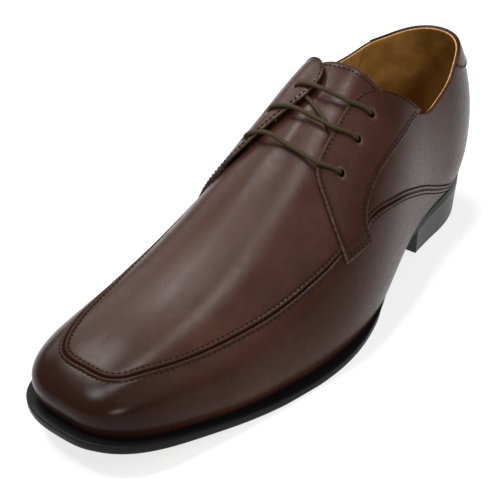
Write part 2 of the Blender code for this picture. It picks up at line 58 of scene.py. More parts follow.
FORWARD = (0.0, 1.0, 0.0)
UPWARD = (0.0, 0.0, 1.0)
MM = 0.001
CENTRE = (3.4, 151.7)
GAP = 0.3
KNOT_EASE = 0.6
SAMPLES_PER_KNOT = 60


class Slot(Enum):
    """The record's material slots."""

    UPPER = "upper_leather"
    SOLE = "sole"
    HEEL = "heel"
    INSOLE = "insole_leather"
    LACE = "lace"


class Side(Enum):
    """The two sides of the foot."""

    OUTER = 1
    INNER = -1


# Curves and small sums


class Spline:
    """Natural cubic spline through numbers or points at rising knots, held flat outside them."""

    def __init__(self, knots: Sequence[float], values: Sequence[object]) -> None:
        """Solve the bends at the knots so that slope and curvature are continuous.

        Args:
            knots: Rising places of the values.
            values: A number or a point for each knot.
        """
        self.knots = np.asarray(knots, float)
        self.values = np.asarray(values, float)
        self.flat = self.values.reshape(len(self.knots), -1)
        step = np.diff(self.knots)
        inside = np.arange(1, len(self.knots) - 1)
        matrix = np.eye(len(self.knots))
        matrix[inside, inside - 1] = step[:-1]
        matrix[inside, inside] = 2 * (step[:-1] + step[1:])
        matrix[inside, inside + 1] = step[1:]
        right = np.zeros_like(self.flat)
        right[1:-1] = 6 * np.diff(np.diff(self.flat, axis=0) / step[:, None], axis=0)
        self.bend = np.linalg.solve(matrix, right)

    def __call__(self, at: Array | float) -> Array:
        """Read the spline.

        Args:
            at: Places to read it at.

        Returns:
            The cubic's value at each place.
        """
        at = np.clip(np.asarray(at, float), self.knots[0], self.knots[-1])
        left = np.clip(np.searchsorted(self.knots, at) - 1, 0, len(self.knots) - 2)
        before = (at - self.knots[left])[..., None]
        width = np.diff(self.knots)[left][..., None]
        after = width - before
        low, high = self.flat[left], self.flat[left + 1]
        low_bend, high_bend = self.bend[left], self.bend[left + 1]
        found = (low_bend * after**3 + high_bend * before**3) / (6 * width)
        found += (low / width - low_bend * width / 6) * after
        found += (high / width - high_bend * width / 6) * before
        return found.reshape(at.shape + self.values.shape[1:])


def named(columns: str, rows: Rows) -> dict[str, Array]:
    """A table's columns as arrays by name."""
    return dict(zip(columns.split(), np.array(rows, float).T))


def eased(low: float, high: float, at: Array) -> Array:
    """0 before low, 1 after high, and a smooth S between them."""
    share = np.clip((at - low) / (high - low), 0, 1)
    return share * share * (3 - 2 * share)


def bell(distance: Array, width: float) -> Array:
    """A Gaussian bell: 1 at no distance, a third of it at the width."""
    return np.exp(-((distance / width) ** 2))


def unit(vectors: Array) -> Array:
    """Vectors of the same direction and length 1."""
    return vectors / np.linalg.norm(vectors, axis=-1, keepdims=True)


def travelled(line: Array) -> Array:
    """Distance from a line's first point to each of its points, along the line."""
    return np.concatenate([[0.0], np.cumsum(np.linalg.norm(np.diff(line, axis=0), axis=1))])


def read_at(line: Array, distance: Array) -> Array:
    """Points of a line at distances along it."""
    place = travelled(line)
    return np.stack([np.interp(distance, place, line[:, axis]) for axis in range(line.shape[1])], -1)


def even(line: Array, count: int) -> Array:
    """A line read again at even distances, count steps long."""
    return read_at(line, np.linspace(0, travelled(line)[-1], count + 1))


def smooth_path(knots: Array, spacing: float) -> Array:
    """A spline through points, slower over short gaps, read at even steps of about the spacing.

    Args:
        knots: Points that it passes.
        spacing: Distance between the points that are read.

    Returns:
        Points of the path.
    """
    gaps = np.linalg.norm(np.diff(knots, axis=0), axis=1) ** KNOT_EASE
    place = np.concatenate([[0.0], np.cumsum(gaps)])
    dense = Spline(place, knots)(np.linspace(0, place[-1], SAMPLES_PER_KNOT * len(knots)))
    return even(dense, int(travelled(dense)[-1] / spacing))


def raised(plan: Array, up: Array) -> Array:
    """Places across and along as points at their heights."""
    return np.concatenate([plan, np.reshape(up, (-1, 1))], 1)


def in_metres(points: Array) -> Array:
    """Points in the shoe's axes as Blender's coordinates."""
    across, along, up = points[..., 0], points[..., 1], points[..., 2]
    return np.stack([across - CENTRE[0], CENTRE[1] - along, up], -1) * MM


def placed(name: str, data: bpy.types.ID) -> bpy.types.Object:
    """A new object of a mesh, a light or a camera, linked to the scene.

    Args:
        name: The object's name.
        data: The mesh, light or camera.

    Returns:
        The object.
    """
    thing = bpy.data.objects.new(name, data)
    bpy.context.scene.collection.objects.link(thing)
    return thing


# The last


@dataclass
class Last:
    """The form of the foot that the leather is drawn over, as a level function."""

    columns: str = "along ridge outer inner feather widest crest side_power top_power tuck middle margin"
    rows: Rows = (
        (0, 0, 33, 33, 25.0, 44.0, 128, 2.4, 2.0, 0.16, 0.0, 0.8),
        (35, 0, 33.7, 33, 24.5, 44.0, 128, 2.4, 2.0, 0.16, 0.0, 0.4),
        (75, 1, 36, 35, 21.5, 41.5, 123, 2.4, 2.0, 0.18, 1.0, -0.3),
        (110, 4, 41, 43, 16.0, 36.0, 116, 2.3, 2.1, 0.155, 7.0, -1.6),
        (145, 5, 48, 46.5, 10.5, 28.5, 99, 2.2, 2.0, 0.07, 8.0, 1.0),
        (180, 4, 51, 48, 6.8, 21.0, 78, 2.3, 2.0, 0.09, 6.0, 4.6),
        (210, 2, 48, 48, 5.0, 18.0, 60.5, 2.5, 2.0, 0.13, 3.5, 5.5),
        (240, -1, 44.5, 45, 7.5, 19.0, 49, 2.7, 2.0, 0.14, 0.4, 4.8),
        (270, -3, 37, 38.5, 12.5, 22.5, 44, 2.9, 2.1, 0.14, -2.0, 5.0),
        (303, -3, 29, 32, 19.5, 28.5, 41, 3.0, 2.2, 0.14, -3.2, 5.5),
    )
    toe_start: float = 258.0
    toe_end: float = 303.0
    toe_power: float = 3.4
    heel_start: float = 50.0
    heel_power: float = 2.2
    back_foot: float = 25.0
    back_rise: float = 80.0
    back_bulge: float = 4.0
    back_lean: float = 1.5
    axis_stop: float = 5.0
    ray_reach: float = 12.0
    halvings: int = 34
    slope_step: float = 0.02
    samples: int = 2400
    curve: dict[str, Spline] = field(init=False)

    def __post_init__(self) -> None:
        """Turn the table's columns into splines along the foot."""
        held = named(self.columns, self.rows)
        self.curve = {name: Spline(held["along"], values) for name, values in held.items()}

    def toe_share(self, along: Array) -> Array:
        """0 before the toe, 1 at its tip."""
        return np.maximum(along - self.toe_start, 0) / (self.toe_end - self.toe_start)

    def heel_share(self, along: Array, up: Array) -> Array:
        """0 before the heel's round, 1 at its back, which bulges and leans with the height.

        Args:
            along: Places along the foot.
            up: Their heights.

        Returns:
            The share at each place.
        """
        rise = np.clip((up - self.back_foot) / self.back_rise, 0, 1)
        back = self.back_bulge * np.sin(np.pi * rise) - self.back_lean * rise**2
        return np.maximum(self.heel_start - along, 0) / (self.heel_start + back)

    def half(self, side: Array, along: Array) -> Array:
        """Half width of a section on the side that a distance from the ridge points to."""
        return np.where(side > 0, self.curve["outer"](along), self.curve["inner"](along))

    def level(self, points: Array) -> Array:
        """The surface as a function: below 0 inside, 0 on the leather's outer face.

        A section is a superellipse about its widest height, and the toe and the heel close
        it by adding their own shares.

        Args:
            points: Points in the shoe's axes.

        Returns:
            The function's value at each point.
        """
        across, along, up = points[..., 0], points[..., 1], points[..., 2]
        widest = self.curve["widest"](along)
        side = across - self.curve["ridge"](along)
        rise = np.maximum(up - widest, 0) / (self.curve["crest"](along) - widest)
        drop = np.maximum(widest - up, 0) / (widest - self.curve["feather"](along))
        value = (np.abs(side) / self.half(side, along)) ** self.curve["side_power"](along)
        value += rise ** self.curve["top_power"](along) + self.curve["tuck"](along) * drop**2
        value += self.toe_share(along) ** self.toe_power
        return value + self.heel_share(along, up) ** self.heel_power - 1

    def drawn(self, guides: Array) -> Array:
        """Guide points moved along rays from the last's axis on to its surface.

        Args:
            guides: Points near the surface.

        Returns:
            Points on the surface, found by halving each ray.
        """
        held = np.clip(guides[..., 1], self.heel_start, self.toe_start - self.axis_stop)
        start = np.stack([self.curve["ridge"](held), held, self.curve["widest"](held)], -1)
        ray = guides - start
        near = np.zeros(ray.shape[:-1])
        far = np.full(ray.shape[:-1], self.ray_reach)
        for _ in range(self.halvings):
            middle = (near + far) / 2
            inside = self.level(start + ray * middle[..., None]) < 0
            near = np.where(inside, middle, near)
            far = np.where(inside, far, middle)
        return start + ray * near[..., None]

    def top(self, across: Array, along: Array) -> Array:
        """Points of the upper face over places in plan, from the section's formula.

        Args:
            across: Places across.
            along: Places along.

        Returns:
            Points on the surface.
        """
        side = across - self.curve["ridge"](along)
        room = 1 - (np.abs(side) / self.half(side, along)) ** self.curve["side_power"](along)
        room -= self.toe_share(along) ** self.toe_power
        widest = self.curve["widest"](along)
        rise = np.clip(room, 0, None) ** (1 / self.curve["top_power"](along))
        return np.stack([across, along, widest + (self.curve["crest"](along) - widest) * rise], -1)

    def normals(self, points: Array) -> Array:
        """Outward unit normals: the level function's slope in the three directions.

        Args:
            points: Points on the surface.

        Returns:
            A vector for each point.
        """
        steps = self.slope_step * np.eye(3)
        slopes = [self.level(points + step) - self.level(points - step) for step in steps]
        return unit(np.stack(slopes, -1))

    def pushed(self, points: Array, distance: Array | float) -> Array:
        """Points moved off the surface along its normals, outwards for plus."""
        return points + self.normals(points) * np.asarray(distance, float)[..., None]

    def with_normals(self, line: Array, height: Array | float = 0.0) -> Array:
        """A line raised off the surface, its points and normals side by side in six columns."""
        return np.concatenate([self.pushed(line, height), self.normals(line)], 1)

    def mirrored(self, points: Array) -> Array:
        """Points of the outer half carried over the pattern's middle line to the inner half.

        Args:
            points: Points in the shoe's axes.

        Returns:
            Their mirror images.
        """
        other = np.array(points, float)
        other[..., 0] = 2 * self.curve["middle"](other[..., 1]) - other[..., 0]
        return other

    def feather_half(self, side: Side, count: int) -> Array:
        """The lower edge of the last on one side, in plan.

        The width is the level function solved at the feather's height.

        Args:
            side: Outer or inner side.
            count: Even steps from the heel's back to the toe's middle.

        Returns:
            Points as across and along.
        """
        tuck = self.curve["tuck"]
        heel = self.heel_start * (1 - (1 - tuck(0.0)) ** (1 / self.heel_power))
        toe = (self.toe_end - self.toe_start) * (1 - tuck(self.toe_end)) ** (1 / self.toe_power)
        turn = np.linspace(0, np.pi, self.samples)
        along = heel + (self.toe_start + toe - heel) * (1 - np.cos(turn)) / 2
        room = 1 - tuck(along) - self.toe_share(along) ** self.toe_power
        room -= self.heel_share(along, self.curve["feather"](along)) ** self.heel_power
        width = self.half(np.full_like(along, side.value), along)
        width *= np.clip(room, 0, None) ** (1 / self.curve["side_power"](along))
        return even(np.stack([self.curve["ridge"](along) + side.value * width, along], -1), count)

    def plan_ring(self, outset: Array | float, margin_share: float, count: int) -> Array:
        """The feather line as a closed ring in plan, moved outwards.

        Args:
            outset: Distance outwards.
            margin_share: Share of the sole's margin added to it.
            count: Steps on each half.

        Returns:
            Points as across and along.
        """
        outer, inner = (self.feather_half(side, count) for side in Side)
        ring = np.concatenate([outer, inner[-2:0:-1]])
        tangent = unit(np.roll(ring, -1, 0) - np.roll(ring, 1, 0))
        outward = np.stack([tangent[:, 1], -tangent[:, 0]], -1)
        push = outset + margin_share * self.curve["margin"](ring[:, 1])
        return ring + outward * np.broadcast_to(push, len(ring))[:, None]

    def ring_line(self, columns: str, rows: Rows, shares: Array) -> Array:
        """A closed line on the last through a table's rows and their mirror image.

        Args:
            columns: The table's column names, with share, along, across and up.
            rows: The outer half, from the heel's back to the toe.
            shares: Places to read, 0 to 1 on the outer half and 1 to 2 on the inner half.

        Returns:
            Points of the line.
        """
        held = named(columns, rows)
        outer = np.stack([held["across"], held["along"], held["up"]], -1)
        inner = self.mirrored(outer)
        inner[:, 2] = held.get("inner_up", held["up"])
        outer[[0, -1], 0] = self.curve["middle"](outer[[0, -1], 1])
        knots = np.concatenate([held["share"], 2 - held["share"][-2::-1]])
        points = np.concatenate([outer, inner[-2::-1]])
        # A few rows repeated at each end make the closed line smooth there
        knots = np.concatenate([knots[-4:-1] - 2, knots, knots[1:4] + 2])
        points = np.concatenate([points[-4:-1], points, points[1:4]])
        return self.drawn(Spline(knots, points)(np.mod(shares, 2)))


# Meshes


class MeshMaker:
    """Collects grids of points and the faces between them, then makes one object of them."""

    sharp_angle = 50.0
    merge_distance = 2e-6
    borders = (np.s_[0, :], np.s_[-1, :], np.s_[:, 0], np.s_[:, -1])

    def __init__(self) -> None:
        """Start with nothing."""
        self.points: list[Array] = []
        self.faces: list[list[int]] = []
        self.marks: list[dict[str, Array]] = []
        self.count = 0

    def add(self, points: Array, **marks: Array | float) -> Numbers:
        """Add an array of points.

        Args:
            points: Points in the shoe's axes, in an array of any shape.
            marks: Numbers painted on them for the finish, by name.

        Returns:
            The points' numbers, in the same shape.
        """
        shape = points.shape[:-1]
        size = int(np.prod(shape))
        self.points.append(points.reshape(-1, 3))
        self.marks.append({name: np.broadcast_to(mark, shape).ravel() for name, mark in marks.items()})
        self.count += size
        return np.arange(self.count - size, self.count).reshape(shape)

    def skin(self, grid: Numbers, closed: bool = False) -> None:
        """Lay quads over a grid of point numbers, closed round its columns if asked.

        Args:
            grid: Point numbers in rows.
            closed: Whether the last column joins the first.
        """
        if closed:
            grid = np.concatenate([grid, grid[:, :1]], 1)
        quads = np.stack([grid[:-1, :-1], grid[:-1, 1:], grid[1:, 1:], grid[1:, :-1]], -1)
        self.faces += quads.reshape(-1, 4).tolist()

    def sheet(self, outer: Numbers, inner: Numbers, left_open: int = 0) -> None:
        """Close a sheet from the grids of its two faces, joined along their borders.

        Args:
            outer: Numbers of one face's points.
            inner: Numbers of the other's, in the same shape.
            left_open: How many borders stay open, the first row's before the others.
        """
        self.skin(outer)
        self.skin(inner)
        for border in self.borders[left_open:]:
            self.skin(np.stack([outer[border], inner[border]]))

    def tube(self, path: Array, rings: Array, **marks: Array | float) -> None:
        """Skin a closed tube from rings of points along a path, with a fan at each end.

        Args:
            path: Points of the path.
            rings: A ring of points for each of them.
            marks: Numbers painted on the points, by name.
        """
        grid = self.add(rings, **marks)
        self.skin(grid, closed=True)
        for ring, end in ((grid[0], path[0]), (grid[-1], path[-1])):
            tip = self.add(end[None])[0]
            self.faces += np.stack([ring, np.roll(ring, -1), np.full_like(ring, tip)], -1).tolist()

    def slab(self, rings: Array, ladder_rows: int, **marks: Array | float) -> None:
        """Close a stack of rings whose halves face each other.

        Each end is a ladder: points on straight lines between the two halves of its ring.

        Args:
            rings: Rings of points, from one end to the other.
            ladder_rows: Points on each rung of the end faces.
            marks: Numbers painted on the points, by name.
        """
        grid = self.add(rings, **marks)
        self.skin(grid, closed=True)
        half = rings.shape[1] // 2
        share = np.linspace(0, 1, ladder_rows)[:, None, None]
        for ring in (rings[0], rings[-1]):
            first = ring[:half + 1]
            second = np.concatenate([ring[:1], ring[:half - 1:-1]])
            self.skin(self.add(first + (second - first) * share))

    def mesh(self, name: str) -> bpy.types.Mesh:
        """Make the mesh with its marks, doubles merged and faces outward.

        Args:
            name: Its name.

        Returns:
            The new mesh.
        """
        mesh = bpy.data.meshes.new(name)
        mesh.from_pydata(in_metres(np.concatenate(self.points)).tolist(), [], self.faces)
        for mark in sorted({mark for marks in self.marks for mark in marks}):
            painted = [marks.get(mark, np.zeros(len(points)))
                       for marks, points in zip(self.marks, self.points)]
            layer = mesh.attributes.new(mark, "FLOAT", "POINT")
            layer.data.foreach_set("value", np.concatenate(painted).astype(np.float32))
        work = bmesh.new()
        work.from_mesh(mesh)
        bmesh.ops.remove_doubles(work, verts=work.verts, dist=self.merge_distance)
        bmesh.ops.recalc_face_normals(work, faces=work.faces)
        work.to_mesh(mesh)
        work.free()
        return mesh

    def make(self, name: str, material: bpy.types.Material,
             stands_for: Sequence[str] = ()) -> bpy.types.Object:
        """Make the object, let it ride on the shoe and report it.

        Args:
            name: The piece's name.
            material: Its finish.
            stands_for: CAD nodes that it replaces.

        Returns:
            The new object.
        """
        mesh = self.mesh(name)
        mesh.shade_smooth()
        mesh.set_sharp_from_angle(angle=np.radians(self.sharp_angle))
        mesh.materials.append(material)
        piece = placed(name, mesh)
        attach(piece, "root")
        if stands_for:
            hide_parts(*stands_for)
        LOG.info("%s: %d faces", name, len(mesh.polygons))
        return piece


# Shaders


class Value:
    """A number in a shader, so that sums of sockets are written as Python expressions."""

    def __init__(self, shader: "Shader", socket: bpy.types.NodeSocket) -> None:
        """Wrap a socket of a shader."""
        self.shader = shader
        self.socket = socket

    def sum(self, operation: str, *terms: object) -> "Value":
        """A Math node's result for its terms."""
        inputs = dict(enumerate(terms))
        return Value(self.shader, self.shader.node("Math", {"operation": operation}, inputs).outputs[0])

    def __add__(self, other: object) -> "Value":
        """This plus another."""
        return self.sum("ADD", self, other)

    __radd__ = __add__

    def __sub__(self, other: object) -> "Value":
        """This less another."""
        return self.sum("SUBTRACT", self, other)

    def __rsub__(self, other: object) -> "Value":
        """Another less this."""
        return self.sum("SUBTRACT", other, self)

    def __mul__(self, other: object) -> "Value":
        """This times another."""
        return self.sum("MULTIPLY", self, other)

    __rmul__ = __mul__

    def eased(self, low: float, high: float) -> "Value":
        """0 before low, 1 after high, and a smooth S between them."""
        node = self.shader.node("MapRange", {"interpolation_type": "SMOOTHSTEP"},
                                {"Value": self, "From Min": low, "From Max": high})
        return Value(self.shader, node.outputs[0])


class Shader:
    """A material whose Principled shader is fed by expressions."""

    def __init__(self, name: str) -> None:
        """Start a material with a bare Principled shader.

        Args:
            name: The material's name.
        """
        self.material = bpy.data.materials.new(name)
        self.material.use_nodes = True
        self.tree = self.material.node_tree
        self.surface = self.tree.nodes["Principled BSDF"]
        self.place = self.node("TexCoord", {}, {}).outputs["Object"]

    def node(self, kind: str, settings: dict[str, object],
             inputs: dict[object, object]) -> bpy.types.Node:
        """Add a node.

        Args:
            kind: Its type, without Blender's prefix.
            settings: Its own properties, set first.
            inputs: Values or links for its sockets, by name or number.

        Returns:
            The node.
        """
        node = self.tree.nodes.new("ShaderNode" + kind)
        for name, setting in settings.items():
            setattr(node, name, setting)
        for name, given in inputs.items():
            self.feed(node.inputs[name], given)
        return node

    def feed(self, socket: bpy.types.NodeSocket, given: object) -> None:
        """Link a socket, or set it to a plain value.

        Args:
            socket: The socket.
            given: A value, another socket, a colour or a number.
        """
        if isinstance(given, Value):
            given = given.socket
        if isinstance(given, bpy.types.NodeSocket):
            self.tree.links.new(given, socket)
        elif isinstance(given, tuple) and len(given) == 3 and socket.type == "RGBA":
            socket.default_value = (*given, 1.0)
        else:
            socket.default_value = given

    def set(self, **inputs: object) -> None:
        """Feed the Principled shader's sockets, named with underscores for spaces."""
        for name, given in inputs.items():
            self.feed(self.surface.inputs[name.replace("_", " ")], given)

    def noise(self, size: float, detail: float = 3.0) -> Value:
        """Cloudy noise with lumps of a size in millimetres."""
        inputs = {"Vector": self.place, "Scale": 1 / (size * MM), "Detail": detail}
        return Value(self, self.node("TexNoise", {}, inputs).outputs[0])

    def cells(self, size: float) -> Value:
        """Distance from the borders of cells of a size in millimetres, 0 at a border."""
        node = self.node("TexVoronoi", {"feature": "DISTANCE_TO_EDGE"},
                         {"Vector": self.place, "Scale": 1 / (size * MM)})
        return Value(self, node.outputs["Distance"])

    def mark(self, name: str) -> Value:
        """A number painted on the mesh."""
        return Value(self, self.node("Attribute", {"attribute_name": name}, {}).outputs["Fac"])

    def mixed(self, factor: Value, first: object, second: object) -> bpy.types.NodeSocket:
        """A colour between two colours."""
        settings = {"data_type": "RGBA"}
        return self.node("Mix", settings, {0: factor, 6: first, 7: second}).outputs[2]

    def bumped(self, height: Value) -> bpy.types.NodeSocket:
        """A normal for heights in millimetres."""
        return self.node("Bump", {}, {"Height": height, "Distance": MM, "Strength": 1.0}).outputs[0]


# Finishes


@dataclass(frozen=True)
class Leather:
    """Smooth dressed leather: fine pores, soft clouds of colour, darker where it is shaded."""

    name: str
    colour: Colour
    dark: Colour
    light: Colour
    roughness: float
    pore: float = 0.55
    pore_depth: float = 0.008
    cloud: float = 26.0
    clouding: float = 0.35
    mottle: float = 3.2
    mottling: float = 0.2
    grain: float = 0.7
    grain_depth: float = 0.016
    wrinkle: float = 6.0
    wrinkle_depth: float = 0.05
    fray: float = 1.6
    fray_least: float = 0.15
    fray_range: float = 0.75
    # How much the mottle roughens, and how much clouds and shaded marks polish
    polish: tuple[float, float, float] = (0.07, 0.05, 0.06)
    specular: float = 0.08

    def material(self) -> bpy.types.Material:
        """Mix the three colours by clouds and painted marks, and raise pores and wrinkles.

        Returns:
            The material.
        """
        shader = Shader(self.name)
        clouds = shader.noise(self.cloud, 4.0).eased(0.3, 0.7)
        mottle = shader.noise(self.mottle).eased(0.25, 0.75)
        pores = shader.cells(self.pore).eased(0.0, 0.22)
        grain = shader.noise(self.grain, 2.0)
        wrinkles = shader.noise(self.wrinkle, 2.0)
        shade = shader.mark("shade")
        body = shader.mixed(clouds * self.clouding + mottle * self.mottling, self.colour, self.dark)
        shaded = shader.mixed(shade, body, self.dark)
        fray = shader.noise(self.fray, 2.0).eased(0.38, 0.62) * self.fray_range + self.fray_least
        worn = shader.mixed(shader.mark("edge") * fray, shaded, self.light)
        height = pores * self.pore_depth + grain * self.grain_depth + wrinkles * self.wrinkle_depth
        rough, cloudy, rubbed = self.polish
        shader.set(Base_Color=worn, Normal=shader.bumped(height), Specular_IOR_Level=self.specular,
                   Roughness=self.roughness + mottle * rough - clouds * cloudy - shade * rubbed)
        return shader.material


@dataclass(frozen=True)
class Satin:
    """Dyed and polished sole edge: near black, satin, faintly clouded."""

    name: str
    colour: Colour
    bare: Colour
    roughness: float
    specular: float = 0.07
    cloud: float = 9.0
    fibre: float = 0.8
    fibre_dark: float = 0.7
    # How much the clouds and the bare places roughen
    wear: tuple[float, float] = (0.16, 0.3)
    # Heights of fibres and clouds
    relief: tuple[float, float] = (0.02, 0.06)

    def material(self) -> bpy.types.Material:
        """Mix the bare colour in by a painted mark and vary the polish.

        Returns:
            The material.
        """
        shader = Shader(self.name)
        clouds = shader.noise(self.cloud, 4.0)
        fine = shader.noise(self.fibre, 2.0)
        bare = shader.mark("bare")
        darker = tuple(part * self.fibre_dark for part in self.bare)
        fibres = shader.mixed(fine.eased(0.3, 0.7) * 0.5, self.bare, darker)
        shader.set(Base_Color=shader.mixed(bare, self.colour, fibres), Specular_IOR_Level=self.specular,
                   Roughness=self.roughness + clouds * self.wear[0] + bare * self.wear[1],
                   Normal=shader.bumped(fine * self.relief[0] + clouds * self.relief[1]))
        return shader.material


@dataclass(frozen=True)
class Braid:
    """Waxed cotton braid: two strands of crossing yarns, with a painted highlight on their crowns."""

    name: str
    colour: Colour
    # Colour of the painted highlight on the crowns; the fuzz lightens towards it too
    light: Colour
    roughness: float = 0.62
    specular: float = 0.06
    fuzz: float = 0.25
    fuzz_depth: float = 0.05
    fuzz_rough: float = 0.15
    fuzz_light: float = 0.3
    # Share of the painted highlight on the crowns
    crown_highlight_share: float = 0.8

    def material(self) -> bpy.types.Material:
        """Lighten the crowns of the yarns with a painted highlight, read from a painted mark.

        Returns:
            The material.
        """
        shader = Shader(self.name)
        fuzz = shader.noise(self.fuzz, 2.0)
        highlight_and_fuzz = shader.mark("crown") * self.crown_highlight_share + fuzz * self.fuzz_light
        shader.set(Base_Color=shader.mixed(highlight_and_fuzz, self.colour, self.light),
                   Roughness=self.roughness + fuzz * self.fuzz_rough,
                   Normal=shader.bumped(fuzz * self.fuzz_depth), Specular_IOR_Level=self.specular)
        return shader.material


@dataclass(frozen=True)
class Floor:
    """Plain pale studio floor."""

    name: str = "studio_floor"
    colour: Colour = (0.3, 0.3, 0.3)
    dark: Colour = (0.28, 0.28, 0.28)
    glow: float = 0.72

    def material(self) -> bpy.types.Material:
        """A matt grey with barely visible clouds and a white glow.

        Returns:
            The material.
        """
        shader = Shader(self.name)
        shader.set(Base_Color=shader.mixed(shader.noise(60.0), self.colour, self.dark), Roughness=0.9,
                   Emission_Color=(1.0, 1.0, 1.0), Emission_Strength=self.glow)
        return shader.material


@dataclass(frozen=True)
class Finishes:
    """All finishes of the shoe."""

    upper: Leather = Leather("brown_leather", (0.040, 0.0152, 0.0096), (0.012, 0.0044, 0.0028),
                             (0.11, 0.072, 0.047), 0.27)
    lining: Leather = Leather("ochre_lining", (0.33, 0.18, 0.046), (0.14, 0.062, 0.012),
                              (0.44, 0.225, 0.085), 0.62, pore=0.4, cloud=15.0, clouding=0.6)
    insole: Leather = Leather("tan_footbed", (0.42, 0.23, 0.08), (0.30, 0.14, 0.04),
                              (0.5, 0.3, 0.15), 0.6, pore=0.4)
    edge: Satin = Satin("black_edge", (0.006, 0.006, 0.006), (0.30, 0.16, 0.09), 0.30)
    heel: Satin = Satin("black_heel", (0.010, 0.010, 0.010), (0.03, 0.03, 0.03), 0.30, 0.22)
    # The second colour of the lace and of the thread is their painted highlight, also mixed in by fuzz
    lace: Braid = Braid("olive_braid", (0.014, 0.0100, 0.0046), (0.046, 0.035, 0.018))
    thread: Braid = Braid("dark_thread", (0.0055, 0.0034, 0.0022), (0.018, 0.0115, 0.0075), 0.9)


# The upper


@dataclass
class Upper:
    """The leather shell with its apron seam, the tongue that continues the vamp, and the lining."""

    last: Last
    finishes: Finishes
    half_columns: int = 300
    leather: float = 1.1
    lining: float = 2.0
    lower_rows: int = 24
    higher_rows: int = 38
    inner_rows: int = 14
    lining_rows: int = 30
    seam_reach: float = 6.0
    ridge_at: float = 1.2
    ridge_width: float = 0.7
    ridge_height: float = 0.55
    groove_width: float = 0.38
    groove_depth: float = 0.75
    stitch_at: float = 2.2
    # Ranges of the ring that have stitches beside the seam
    stitched: Rows = ((0.155, 0.485), (0.552, 1.448), (1.515, 1.845))
    dip_depth: float = 0.18
    dip_width: float = 0.45
    band_rows: int = 41
    band_power: float = 1.35
    band_room: float = 0.75
    # Painted shade of the groove, the stitch rows and the lower edge, each with its width
    groove_shade: tuple[float, float] = (0.9, 0.6)
    stitch_shade: tuple[float, float] = (0.25, 0.7)
    foot_shade: tuple[float, float] = (0.7, 5.0)
    wall_fade: float = 4.0
    # Rows next to the collar's rim: how far below it and how far under the surface
    rim_columns: str = "below under"
    rim_rows: Rows = ((0.9, 0.0), (0.45, 0.08), (0.15, 0.25), (0.0, 0.5))
    # Painted shade towards the toe: full on the toe's wall, less on the apron's tip, rising over the run
    # along
    toe_shade: float = 0.95
    tip_shade: float = 0.6
    toe_shade_run: tuple[float, float] = (240.0, 296.0)
    throat_share: float = 0.60
    throat_fade: float = 0.03
    tongue_rows: int = 38
    tongue_top: float = 110.8
    # Distances of the close rows from the tongue's top edge
    tongue_edge: tuple[float, ...] = (0.0, 0.15, 0.4, 0.8, 1.6, 2.2, 2.6, 3.0, 3.4, 4.0)
    corner: float = 2.0
    hem: float = 2.8
    hem_step: float = 0.25
    hem_slope: float = 0.8
    hem_drop: float = 0.3
    hem_crease: float = 0.4
    hem_shade_and_wear: float = 0.7
    hem_shade_and_wear_width: float = 0.7
    tongue_ease: float = 0.35
    lining_drop: float = 0.5
    lining_gap: float = 0.08
    lining_edge: float = 0.012
    lining_round: float = 0.15
    lining_close: tuple[float, ...] = (0.0, 0.004, 0.012, 0.025)
    # Steps over which painted shade darkens the lining deeper into the shoe
    lining_depth_shade: tuple[float, float] = (0.3, 1.0)
    panel_seam: float = 49.0
    panel_width: float = 0.7
    panel_shade: float = 0.9
    seam_columns: str = "share along across up relief"
    seam_rows: Rows = (
        (0.00, 0, 0, 33, 0),
        (0.05, 7, 16, 33, 0),
        (0.10, 21, 27, 28.5, 0),
        (0.15, 41, 31.3, 27.0, 1),
        (0.18, 51, 32.6, 30.2, 1),
        (0.22, 65, 34.5, 36.5, 1),
        (0.27, 82, 38, 45, 1),
        (0.33, 101, 42, 53.5, 1),
        (0.38, 118, 45, 60, 1),
        (0.43, 134, 46.5, 63.5, 1),
        (0.47, 147, 47, 64.5, 1),
        (0.50, 157, 48, 62.5, 0),
        (0.545, 171.5, 47.2, 57.4, 0),
        (0.56, 176.5, 46.6, 55.9, 1),
        (0.575, 181, 46.2, 54.2, 1),
        (0.60, 189, 45.1, 51.5, 1),
        (0.65, 205, 42, 46.4, 1),
        (0.70, 221, 38.3, 43, 1),
        (0.75, 237, 33.6, 41, 1),
        (0.80, 252, 28.8, 40, 1),
        (0.85, 266, 23.5, 40.2, 1),
        (0.89, 276, 18.7, 40.4, 1),
        (0.925, 283, 14.3, 40.1, 1),
        (0.945, 286.2, 10.6, 40, 1),
        (0.965, 287.7, 6, 40, 1),
        (1.00, 288.2, -2.6, 40.2, 1),
    )
    opening_columns: str = "share along across up inner_up"
    opening_rows: Rows = (
        (0.00, 15, 0, 104.5, 104.5),
        (0.05, 18.5, 10.5, 102.5, 98),
        (0.10, 28.5, 19.5, 98.5, 92.5),
        (0.15, 40, 25.5, 95.5, 98),
        (0.185, 49, 28, 90, 102.5),
        (0.225, 61, 30, 86.5, 105.5),
        (0.27, 76, 32.5, 85.5, 106),
        (0.31, 90, 33.5, 91, 101.5),
        (0.345, 101, 33.5, 97.5, 101),
        (0.37, 107, 34, 100, 100),
        (0.40, 114, 34.5, 99, 99),
        (0.44, 127, 35.5, 95, 95),
        (0.49, 142, 37, 88, 88),
        (0.54, 154, 38, 81, 81),
        (0.59, 162.5, 35, 79.5, 79.5),
        (0.65, 166, 28, 83, 83),
        (0.76, 166.5, 20, 86, 86),
        (0.88, 166.5, 13, 87.5, 87.5),
        (1.00, 166.5, 7, 88, 88),
    )
    tongue_columns: str = "along half_width"
    tongue_widths: Rows = (
        (107.5, 19), (110, 22.5), (115, 24.6), (127, 25), (138, 25.4), (150, 26), (166, 26.5),
    )
    fold_fade: float = 0.15
